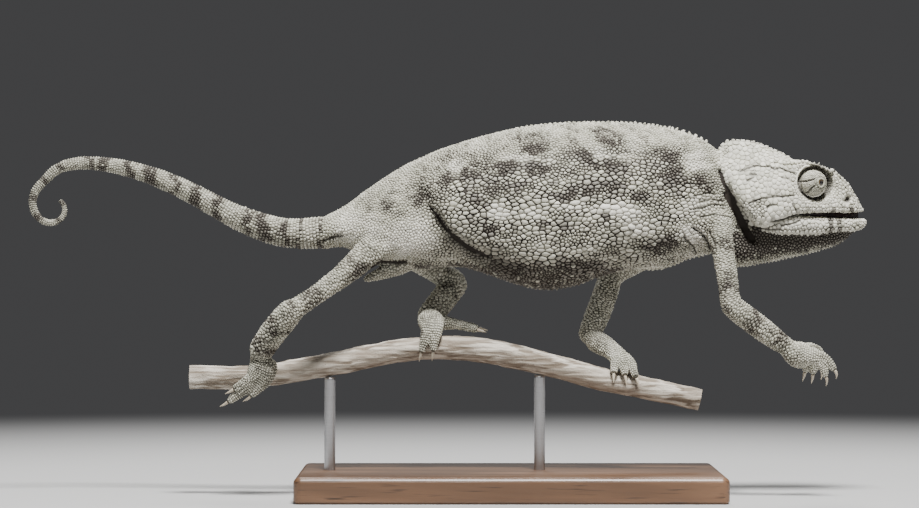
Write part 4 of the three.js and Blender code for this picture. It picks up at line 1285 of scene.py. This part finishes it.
def make_coat(skin_piece, form_points, charts, material):
    """Scales over all the skin, in pieces by part, and the markings handed to the skin beneath."""
    points, normals = mesh_points(skin_piece.data)
    table = settled_roots(skin_piece.data, form_points, charts)
    open_skin = nostril_away(table["points"]) > 1.3
    table = {key: values[open_skin] for key, values in table.items()}
    table["mark"] = np.zeros(len(table["points"]))
    for i, name in enumerate(PARTS):
        mine = table["part"] == i
        if mine.any():
            table["mark"][mine] = marking(table["points"][mine], name, table["u"][mine])
    spread = rng.normal(size=len(table["mark"]))
    table["mark"] = np.clip(table["mark"] + spread * (0.08 + 0.3 * np.clip(table["mark"], 0, 1)), -1, 1)
    # painted shade: folds and creases darken the scales in them
    fold = hollows(skin_piece.data)
    tree = tree_of(points)
    fold_shade = fold[[tree.find(point)[1] for point in table["points"]]]
    table["crease"] = np.maximum(creased(table["points"], table["normals"])[1], fold_shade)
    table["gap"] = gap_darkness(table)
    flank = (table["part"] == PART["body"]) & (table["wide"] > 0.74)
    plain = np.interp(table["wide"], [0.5, 1.5], [0.05, 0.09]) * (0.55 + 0.6 * table["gap"])
    table["gap_width"] = np.where(flank, np.interp(table["gap"], [0.2, 1], [0.03, 0.14]), plain)
    mark_skin(skin_piece, points, normals, fold, table)

    atlas = atlas_places(table)
    for sides in (PLATES[0], SHIELDS[0], BEADS[0]):
        reach, first, second, spokes, _ = cells(table, sides)
        reach = clear_of_creases(reach, first, second, spokes, table["points"])
        for name, (mine, kind) in coat_groups(table).items():
            if kind[0] == sides:
                subset = {key: values[mine] for key, values in table.items()}
                subset.update(reach=reach[mine], first=first[mine], second=second[mine], spokes=spokes)
                make_scales(name, subset, atlas[mine], kind, material)


# how dark the gaps between scales are, by part: partly the skin's own dark, partly painted shade
GAP_SHADE = {"body": 0.88, "head": 0.34, "turret": 0.5, "jaw": 0.35, "throat": 0.9, "tail": 0.68, "toe": 0.74}


def gap_darkness(table):
    """How dark the skin is round each scale: darkest on the mid flank and in blotches, faint on the head;
    partly the skin's own dark and partly painted shade in the gaps.
    """
    x, z = table["points"][:, 0], table["points"][:, 2]
    dark = np.array([GAP_SHADE.get(name, 0.66) for name in PARTS])[table["part"]]
    body = table["part"] == PART["body"]
    streak = cloud(table["points"] * np.array([0.3, 1, 1]), 2.4, 33)
    faint = 0.4 * ramp(z, 92, 4) + 0.25 * ramp(x, 46, 6) + 0.35 * ramp(x, -20, -6)
    dark = dark + body * (0.3 * streak - faint)
    below = (table["part"] == PART["jaw"]) & (z < 72.6)
    dark = np.where(in_cheek_patch(table["points"]) | below, 0.8, dark)
    return np.clip(dark + (0.3 + 0.2 * body) * table["mark"], 0.1, 1)


def mark_skin(skin_piece, points, normals, fold, table):
    """Gives each point of the skin the marks of the nearest scale's root, darker between the scales, with
    painted shade in creases, folds, the orbits and the nostrils.
    """
    tree = tree_of(table["points"])
    nearest = np.array([tree.find(point)[1] for point in points])
    set_attribute(skin_piece.data, "marking", table["mark"][nearest])
    set_attribute(skin_piece.data, "gap", table["gap"][nearest])
    # painted shade in creases, folds, the orbits and the nostrils
    dark = np.maximum(creased(points, normals)[1], fold)
    set_attribute(skin_piece.data, "crease", np.maximum(dark, np.exp(-(nostril_away(points) / 0.95) ** 4)))


# ---------------------------------------------------------------- shaders


class Value:
    """A shader socket on which Python's operators add Math nodes."""

    def __init__(self, shader, socket):
        self.shader, self.socket = shader, socket

    def __add__(self, other):
        return self.shader.maths("ADD", self, other)

    def __sub__(self, other):
        return self.shader.maths("SUBTRACT", self, other)

    def __rsub__(self, other):
        return self.shader.maths("SUBTRACT", other, self)

    def __mul__(self, other):
        return self.shader.maths("MULTIPLY", self, other)

    __radd__ = __add__
    __rmul__ = __mul__


class Shader:
    """One material, whose nodes are added by node() from a type, settings and inputs."""

    def __init__(self, name, roughness=0.6, surface=None):
        self.material = bpy.data.materials.new(name)
        self.material.use_nodes = True
        self.tree = self.material.node_tree
        self.surface = self.tree.nodes["Principled BSDF"]
        self.surface.inputs["Roughness"].default_value = roughness
        for socket, value in (surface or {}).items():
            self.surface.inputs[socket].default_value = value

    def node(self, kind, settings=None, inputs=None, output=0):
        """Adds one node, first its settings, then its inputs, and gives the output asked for."""
        node = self.tree.nodes.new("ShaderNode" + kind)
        for key, value in (settings or {}).items():
            setattr(node, key, value)
        for key, value in (inputs or {}).items():
            self.plug(node.inputs[key], value)
        return Value(self, node.outputs[output])

    def plug(self, socket, value):
        """Links a value to a socket, or sets a plain number or colour on it."""
        if isinstance(value, Value):
            self.tree.links.new(value.socket, socket)
        else:
            socket.default_value = value

    def maths(self, operation, *values):
        return self.node("Math", {"operation": operation}, dict(enumerate(values)))

    def clamp(self, value):
        return self.node("Clamp", inputs={"Value": value})

    def mix(self, factor, first, second):
        """The first colour where the factor is 0 and the second where it is 1."""
        first, second = ((*c, 1) if isinstance(c, tuple) and len(c) == 3 else c for c in (first, second))
        return self.node("Mix", {"data_type": "RGBA"}, {0: factor, 6: first, 7: second}, 2)

    def attribute(self, name):
        return self.node("Attribute", {"attribute_name": name}, output=2)

    def place(self, scale=(1, 1, 1)):
        """The place on the object in metres; a scale under 1 along an axis draws patterns out along it."""
        coordinates = self.node("TexCoord", output=3)
        return self.node("Mapping", inputs={"Vector": coordinates, "Scale": scale})

    def noise(self, scale, detail=3.0, vector=None, distortion=0.0):
        inputs = {"Scale": scale, "Detail": detail, "Distortion": distortion}
        return self.node("TexNoise", inputs={"Vector": vector or self.place(), **inputs})

    def bump(self, height, strength, distance):
        normal = self.node("Bump", inputs={"Height": height, "Strength": strength, "Distance": distance})
        self.plug(self.surface.inputs["Normal"], normal)

    def paint(self, colour, roughness=None):
        self.plug(self.surface.inputs["Base Color"], colour)
        if roughness is not None:
            self.plug(self.surface.inputs["Roughness"], roughness)
        return self.material


PALE = (0.60, 0.575, 0.47)
CREAM = (0.80, 0.775, 0.68)
SAGE = (0.43, 0.43, 0.34)
UMBER = (0.055, 0.045, 0.034)
# the darkest colour: the skin's own dark between scales and in grooves, and painted shade in creases, folds,
# orbits, nostrils and gaps
DARK_SKIN_AND_SHADE = (0.022, 0.017, 0.013)


def coat_colour(shader, mark):
    """Cream where the mark is below 0, sage-grey at rest, umber near 1 and darker still past that, as
    painted shade for the deepest marks such as the throat's upper band.
    """
    drift = shader.noise(220, 2)
    rest = shader.mix(shader.clamp(drift * 1.6 - 0.3), PALE, SAGE)
    rest = shader.mix(shader.clamp(mark * -1.5), rest, CREAM)
    rest = shader.mix(shader.clamp(mark * 1.5), rest, UMBER)
    # painted shade: marks past 1 go darker still
    return shader.mix(shader.clamp(mark * 1.2 - 1.4), rest, DARK_SKIN_AND_SHADE)


def scale_material():
    """Dry horny scales: paler on their crowns, darker at their feet (partly the skin's own dark, partly
    painted shade in the gaps), and each a little darker or lighter.
    """
    shader = Shader("scales", 0.55, {"Specular IOR Level": 0.35})
    colour = coat_colour(shader, shader.attribute("marking"))
    colour = shader.mix(shader.attribute("shade") * 0.3, colour, UMBER)
    crown = shader.attribute("crown")
    pale = 0.28 * (1 - shader.clamp(shader.attribute("marking") * 2 - 1.8))
    colour = shader.mix(shader.clamp((crown - 0.6) * 1.6) * pale, colour, CREAM)
    foot = 1 - shader.clamp(crown * 1.9)
    # darker feet: partly the skin's own dark, partly painted shade in the gaps between scales
    colour = shader.mix(foot * shader.attribute("gap"), colour, DARK_SKIN_AND_SHADE)
    # painted shade in creases, folds and the orbits
    colour = shader.mix(shader.attribute("crease") * 0.85, colour, DARK_SKIN_AND_SHADE)
    grain = shader.noise(2600, 3)
    shader.bump(grain, 0.35, 0.00012)
    return shader.paint(colour, 0.5 + 0.2 * grain)


def skin_material():
    """The soft skin between the scales: the same markings, darker, and finely wrinkled; the dark is partly
    its own and partly painted shade in the gaps, creases, folds, orbits and nostrils.
    """
    shader = Shader("skin_between_scales", 0.7, {"Specular IOR Level": 0.25})
    colour = coat_colour(shader, shader.attribute("marking"))
    # darker between the scales: partly the skin's own dark, partly painted shade
    colour = shader.mix(shader.attribute("gap"), colour, DARK_SKIN_AND_SHADE)
    # painted shade in creases, folds, the orbits and the nostrils
    colour = shader.mix(shader.attribute("crease"), colour, DARK_SKIN_AND_SHADE)
    wrinkle = shader.noise(1500, 4, distortion=0.6)
    shader.bump(wrinkle, 0.5, 0.0002)
    return shader.paint(colour)


def claw_material():
    """Horn, pale and a little translucent-looking, with fine lengthwise streaks."""
    shader = Shader("claw_horn", 0.35, {"Coat Weight": 0.2})
    streak = shader.noise(900, 3, shader.place((1, 1, 0.3)))
    shader.bump(streak, 0.2, 0.0001)
    return shader.paint(shader.mix(streak, (0.62, 0.56, 0.44), (0.3, 0.24, 0.17)), 0.3 + 0.2 * streak)


def eye_material():
    """A wet eye: a black pupil, a narrow bronze ring and dark brown beyond, from its own reach attribute."""
    shader = Shader("eye", 0.08, {"Coat Weight": 1.0, "Coat Roughness": 0.03})
    reach = shader.attribute("reach")
    ring = shader.clamp((reach - 0.42) * 12) * shader.clamp((0.72 - reach) * 9)
    flecks = shader.noise(2500, 2)
    bronze = shader.mix(flecks, (0.13, 0.085, 0.04), (0.06, 0.04, 0.02))
    return shader.paint(shader.mix(ring, (0.012, 0.01, 0.01), bronze))


def mouth_material():
    """The moist lining seen between the lips, near black: its dark is painted shade inside the mouth."""
    shader = Shader("mouth_lining", 0.4)
    mottle = shader.noise(700, 3)
    shader.bump(mottle, 0.3, 0.0003)
    # painted shade: the lining is near black, standing for the shade inside the mouth
    colour = shader.mix(mottle, (0.035, 0.014, 0.011), (0.012, 0.006, 0.005))
    return shader.paint(colour, 0.35 + 0.2 * mottle)


def bark_material():
    """Thin pale bark with long dark streaks along the perch, cracks and small lenticels."""
    shader = Shader("bark", 0.8)
    along = shader.place((0.12, 1, 1))
    streak = shader.noise(900, 6, along, 0.4)
    broad = shader.noise(180, 4, shader.place((0.3, 1, 1)))
    speck = shader.noise(2400, 2)
    colour = shader.mix(shader.clamp((streak - 0.42) * 5), (0.16, 0.125, 0.09), (0.58, 0.53, 0.45))
    colour = shader.mix(shader.clamp((broad - 0.45) * 3), colour, (0.34, 0.29, 0.23))
    colour = shader.mix(shader.clamp((speck - 0.66) * 9), colour, (0.09, 0.07, 0.05))
    shader.bump(streak + speck * 0.3, 0.8, 0.0005)
    return shader.paint(colour, 0.7 + 0.2 * speck)


def cut_wood_material():
    """The sawn ends of the perch: growth rings round the pith."""
    shader = Shader("cut_wood", 0.8)
    rings = shader.maths("SINE", shader.attribute("reach") * 26 + shader.noise(500, 2) * 3)
    shader.bump(rings, 0.2, 0.0002)
    return shader.paint(shader.mix(0.5 + 0.5 * rings, (0.52, 0.4, 0.25), (0.34, 0.24, 0.14)))


def walnut_material():
    """Satin dark walnut: long figure along X with pores."""
    shader = Shader("walnut", 0.35, {"Coat Weight": 0.25, "Coat Roughness": 0.3})
    figure = shader.noise(95, 6, shader.place((0.09, 1, 1)), 1.2)
    pores = shader.noise(1600, 2, shader.place((0.05, 1, 1)))
    colour = shader.mix(shader.clamp((figure - 0.3) * 2.2), (0.055, 0.028, 0.014), (0.2, 0.105, 0.055))
    colour = shader.mix(shader.clamp((pores - 0.6) * 8), colour, (0.03, 0.015, 0.008))
    shader.bump(pores * -1, 0.25, 0.0002)
    return shader.paint(colour, 0.32 + 0.18 * figure)


def steel_material():
    """Round brushed rod: fine scratches across its length."""
    shader = Shader("steel", 0.3, {"Metallic": 1.0})
    scratch = shader.noise(1200, 3, shader.place((0.3, 0.3, 6)))
    shader.bump(scratch, 0.1, 0.0001)
    return shader.paint(shader.mix(scratch, (0.52, 0.52, 0.53), (0.68, 0.68, 0.69)), 0.22 + 0.2 * scratch)


# ---------------------------------------------------------------- eyes, claws, mouth


def make_eye(name, side, material):
    """An eyeball in the opening of the lids: a sphere drawn out a little where the cornea bulges."""
    middle, out, forward, up = turret_frame(side)
    radius = TURRET["ball"] - 0.05
    u = np.linspace(0.02, 1, 28)
    turn = 2 * np.pi * np.arange(48) / 48
    lift = np.cos(u * np.pi * 0.75)
    reach = np.sin(u * np.pi * 0.75)
    bulge = 1 + 0.06 * np.exp(-(u / 0.3) ** 2)
    around = forward * np.cos(turn)[:, None] + up * np.sin(turn)[:, None]
    seat = middle + out * (TURRET["height"] - 0.82 * TURRET["ball"] - 0.25)
    grid = seat + (out * (lift * bulge)[:, None, None] + around[None] * reach[:, None, None]) * radius
    points, faces = capped(grid, seat + out * 1.06 * radius, seat - out * 0.75 * radius)
    mesh = make_mesh(name, points, turned_over(faces) if side > 0 else faces)
    set_attribute(mesh, "reach", np.concatenate([np.repeat(reach, len(turn)), [0, 1]]) * 1.15)
    piece = add_piece(name, mesh, material)
    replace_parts(piece, name)


def make_claws(material):
    """Each claw is a cone drawn along an arc that bends under the toe, its radius falling to a point."""
    shapes = []
    for path, _, way in TOES:
        tip = np.array(path[-1], float)
        toe_way = unit(tip - np.array(path[-2], float))
        claw_way = unit(way)
        start = tip - 0.2 * toe_way
        begin = unit(toe_way + 0.4 * claw_way)
        bend = start + begin * TOE["claw"] * 0.45
        point = start + begin * TOE["claw"] * 0.62 + claw_way * TOE["claw"] * 0.5
        arc = smooth_curve([start, bend, point], np.linspace(0, 2, 40))
        claw = Tube(arc[::4], [TOE["claw_root"], 0.4, 0.31, 0.2, 0.06], rounded=False)
        shapes.append(closed_form(claw.place, 12, 12, 0.0)[:2])
    add_piece("claws", make_mesh("claws", *joined(shapes)), material)


def make_mouth(material):
    """The lining of the mouth: a low plug set back between the lips."""
    ribs = [[rib[0] - 1, rib[1] + 1.8, rib[1] - 1, max(rib[3] - 2.6, 0.3)] for rib in JAW[2:7]]
    points, faces, _, _ = closed_form(lambda u, v, grow: trough_place(ribs, u, v, grow, 0.75), 40, 40, 0.0)
    add_piece("mouth_lining", make_mesh("mouth_lining", points, faces), material)


def fold_ring(middle, forward, up, out, reach, lift, thick, ripple):
    """A closed fold of skin round a middle: its reach, lift and thickness may change with the turn."""
    rows, sides = len(reach), 14
    thick = thick + 0 * reach
    turn = np.arange(rows) / rows * 2 * np.pi
    section = np.arange(sides) / sides * 2 * np.pi
    around = forward * np.cos(turn)[:, None] + up * np.sin(turn)[:, None]
    wave = ripple * (np.sin(turn * 13 + reach[0]) + np.sin(turn * 3))
    wide = (reach + wave)[:, None] + thick[:, None] * np.cos(section)[None]
    high = (lift + 0.5 * wave)[:, None] + thick[:, None] * np.sin(section)[None]
    grid = middle + around[:, None] * wide[..., None] + out * high[..., None]
    i, j = np.arange(rows)[:, None], np.arange(sides)[None]
    faces = np.stack([i * sides + j, (i + 1) % rows * sides + j, (i + 1) % rows * sides + (j + 1) % sides,
                      i * sides + (j + 1) % sides], -1).reshape(-1, 4)
    return grid.reshape(-1, 3), faces.tolist()


def make_lids(material):
    """The lids' puckered rim, a fold round it, the turret's lower border and the fold behind the orbit, whose
    cream is a painted highlight along the orbit's lit rim.
    """
    shapes, marks = [], []
    turn = np.arange(96) / 96 * 2 * np.pi
    low_front = (0.5 + 0.5 * np.cos(turn + math.radians(55))) ** 1.5
    degrees = np.degrees(turn)
    rim_reach = np.interp(degrees, [85, 120, 205, 240], [4.5, 5.2, 5.2, 4.5])
    rim_lift = np.interp(degrees, [85, 108, 135, 165, 200, 215, 240], [-3.2, 0.2, 0.65, 1.05, 1.3, 0.9, -3.2])
    rim_thick = np.interp(degrees, [90, 115, 180, 200, 230], [0.04, 0.25, 0.25, 0.18, 0.04])
    ahead, up = np.array([1.0, 0, 0]), np.array([0, 0, 1.0])
    for side in (-1, 1):
        middle, out, forward, _ = turret_frame(side)
        beside = np.array([0, side * 1.0, 0])
        top = TURRET["height"] - 0.25
        orbit = np.array([ORBIT["x"], middle[1], ORBIT["z"]])
        border = middle + ahead * 0.1
        # marks per ring: the last, the fold behind the orbit, is painted cream as a painted highlight along
        # its lit rim
        rings = [(0.1, fold_ring(middle, forward, up, out, 1.12 + 0 * turn, top, 0.24, 0.05)),
                 (0.3, fold_ring(middle, forward, up, out, 1.8 + 0 * turn, top - 0.42, 0.13, 0.08)),
                 (-0.9, fold_ring(border, ahead, up, beside, 3.05 + 0.58 * low_front, 0.1 + 0.5 * low_front,
                                  0.05 + 0.25 * low_front, 0.05)),
                 (-0.8, fold_ring(orbit, ahead, up, beside, rim_reach, rim_lift, rim_thick, 0.045))]
        for mark, (points, faces) in rings:
            shapes.append((points, turned_over(faces) if side > 0 else faces))
            marks.append(np.full(len(points), mark))
    mesh = make_mesh("eyelids", *joined(shapes))
    set_attribute(mesh, "marking", np.concatenate(marks))
    set_attribute(mesh, "gap", np.full(len(mesh.vertices), 0.05))
    set_attribute(mesh, "crease", np.zeros(len(mesh.vertices)))
    add_piece("eyelids", mesh, material)


# ---------------------------------------------------------------- perch and stand


def make_perch(bark, cut):
    """The perch: a tube with low ridges, knots and a ragged bark edge, and its two sawn ends."""
    tube = Tube([[x, 0, z] for x, z in PERCH_LINE], PERCH_RADII, rounded=False)
    rows, sides = 420, 72
    u, v = np.meshgrid(np.linspace(0, 1, rows), np.arange(sides) / sides, indexing="ij")
    plain = tube.place(u, v)
    flat = plain.reshape(-1, 3)
    swell = (0.1 * cloud(flat * np.array([0.4, 1, 1]), 3, 11)
             + 0.08 * cloud(flat * np.array([0.12, 1, 1]), 0.9, 12)).reshape(rows, sides) - 0.12
    for at, turn, size in PERCH_KNOTS:
        round_away = np.minimum(np.abs(v - turn), 1 - np.abs(v - turn)) * 10
        swell = swell + size * np.exp(-(((u - at) * tube.length / 2.2) ** 2 + round_away**2))
    grid = tube.place(u, v, swell)
    mesh = make_mesh("perch_branch", grid.reshape(-1, 3), grid_faces(rows, sides))
    wood = add_piece("perch_bark", mesh, bark)
    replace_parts(wood, "perch_branch")
    shapes, reach = [], []
    rings = 12
    for end in (0, rows - 1):
        middle = grid[end].mean(axis=0)
        shares = np.linspace(1, 0.04, rings)
        disc = middle + (grid[end][None] - middle) * shares[:, None, None]
        points = np.concatenate([disc.reshape(-1, 3), [middle]])
        inner = (rings - 1) * sides
        fan = [[inner + (a + 1) % sides, inner + a, rings * sides] for a in range(sides)]
        faces = grid_faces(rings, sides) + fan
        shapes.append((points, faces if end else turned_over(faces)))
        reach.append(np.concatenate([np.repeat(shares, sides), [0]]))
    ends = make_mesh("perch_cut_ends", *joined(shapes))
    set_attribute(ends, "reach", np.concatenate(reach))
    add_piece("perch_cut_ends", ends, cut, smooth=False)


def make_rods(material):
    """Each rod is a fine-sided cylinder in the place of its CAD node; the perch hides its top."""
    for name in ("stand_rod_rear", "stand_rod_front"):
        low, high = (np.array(corner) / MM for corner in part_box(name))
        x, radius = (low[0] + high[0]) / 2, (high[0] - low[0]) / 2
        heights = np.linspace(low[2], high[2] - 0.4, 40)[:, None]
        turn = (np.arange(48) / 48 * 2 * np.pi)[None]
        grid = np.stack(np.broadcast_arrays(x + radius * np.cos(turn), radius * np.sin(turn), heights), -1)
        points, faces = capped(grid, [x, 0, heights[0, 0]], [x, 0, heights[-1, 0]])
        mesh = make_mesh(name, points, turned_over(faces))
        rod = add_piece(name.replace("stand_", ""), mesh, material)
        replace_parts(rod, name)


def make_base(material):
    """The base: a rounded rectangle in plan, its upper edge worked to a quarter round, its foot chamfered."""
    low, high = (np.array(corner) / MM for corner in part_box("stand_base"))
    half = (high - low) / 2
    corner, edge = 2.2, 1.6
    turn = np.arange(96) / 96 * 2 * np.pi
    way = np.stack([np.cos(turn), np.sin(turn)], -1)
    middle = np.sign(np.round(way, 6)) * (half[:2] - corner)
    steps = np.linspace(0, math.pi / 2, 7)
    profile = [(0.6, low[2]), (0, low[2] + 0.6), (0, high[2] - edge)]
    profile += [(edge * (1 - math.cos(a)), high[2] - edge + edge * math.sin(a)) for a in steps[1:]]
    rings = [np.column_stack([middle + way * (corner - inset), np.full(96, z)]) for inset, z in profile]
    for share in (0.9, 0.6, 0.3):
        rings.append(np.column_stack([(middle + way * (corner - edge)) * share, np.full(96, high[2])]))
    points, faces = capped(np.stack(rings), [0, 0, low[2]], [0, 0, high[2]])
    mesh = make_mesh("wooden_base", points, turned_over(faces))
    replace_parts(add_piece("wooden_base", mesh, material, smooth=False), "stand_base")


# ---------------------------------------------------------------- stage


SURROUND = (0.06, 0.06, 0.062)


def make_stage():
    """A wide round floor, pale under the stand, that turns into the surround's own grey with distance."""
    reach = np.array([0.001, 60, 120, 200, 320, 500, 900, 1800, 4000, 9000.0])[:, None]
    turn = np.arange(96) / 96 * 2 * np.pi
    grid = np.stack([reach * np.cos(turn), reach * np.sin(turn), -0.02 + 0 * reach * turn], -1)
    mesh = make_mesh("floor", grid.reshape(-1, 3), turned_over(grid_faces(len(reach), len(turn))))
    floor = bpy.data.objects.new("floor", mesh)
    bpy.context.collection.objects.link(floor)
    shader = Shader("floor", 0.8)
    away = shader.node("VectorMath", {"operation": "LENGTH"}, {0: shader.place()}, output=1)
    shader.paint((0.44, 0.437, 0.43, 1))
    glow = shader.node("Emission", inputs={"Color": (*SURROUND, 1), "Strength": 1.0})
    far = shader.clamp((away - 0.17) * 2.6)
    ease = far * far * (3 - 2 * far)
    blend = shader.node("MixShader", inputs={0: ease, 1: Value(shader, shader.surface.outputs[0]), 2: glow})
    shader.plug(shader.tree.nodes["Material Output"].inputs["Surface"], blend)
    mesh.materials.append(shader.material)


def add_light(name, place, aim, size, power, colour=(1, 1, 1)):
    """A square soft light that faces a point."""
    data = bpy.data.lights.new(name, "AREA")
    data.size, data.energy, data.color = size, power, colour
    light = bpy.data.objects.new(name, data)
    light.location = place
    way = np.array(aim, float) - np.array(place, float)
    light.rotation_euler = (math.atan2(math.hypot(way[0], way[1]), -way[2]), 0, math.atan2(-way[0], way[1]))
    bpy.context.collection.objects.link(light)


def add_lights():
    """A key from above and in front, weak fills, one from behind, and a dim grey surround."""
    aim = (-0.01, 0, 0.07)
    add_light("key", (0.08, -0.48, 1.0), aim, 0.22, 32)
    add_light("fill_left", (-1.3, -0.9, 0.6), aim, 0.8, 1.1)
    add_light("fill_right", (1.4, -0.5, 0.6), aim, 0.8, 1.2)
    add_light("back", (0, 0.9, 1.1), aim, 0.5, 9)
    world = bpy.data.worlds.new("surround")
    bpy.context.scene.world = world
    world.use_nodes = True
    world.node_tree.nodes["Background"].inputs["Color"].default_value = (*SURROUND, 1)
    world.node_tree.nodes["Background"].inputs["Strength"].default_value = 1.0


# ---------------------------------------------------------------- all together

skin_between = skin_material()
skin, flesh_points, flesh_charts = make_skin(skin_between)
make_coat(skin, flesh_points, flesh_charts, scale_material())
eye_finish = eye_material()
make_eye("right_eye", -1, eye_finish)
make_eye("left_eye", 1, eye_finish)
make_lids(skin_between)
make_claws(claw_material())
make_mouth(mouth_material())
make_perch(bark_material(), cut_wood_material())
make_rods(steel_material())
make_base(walnut_material())
make_stage()
add_lights()
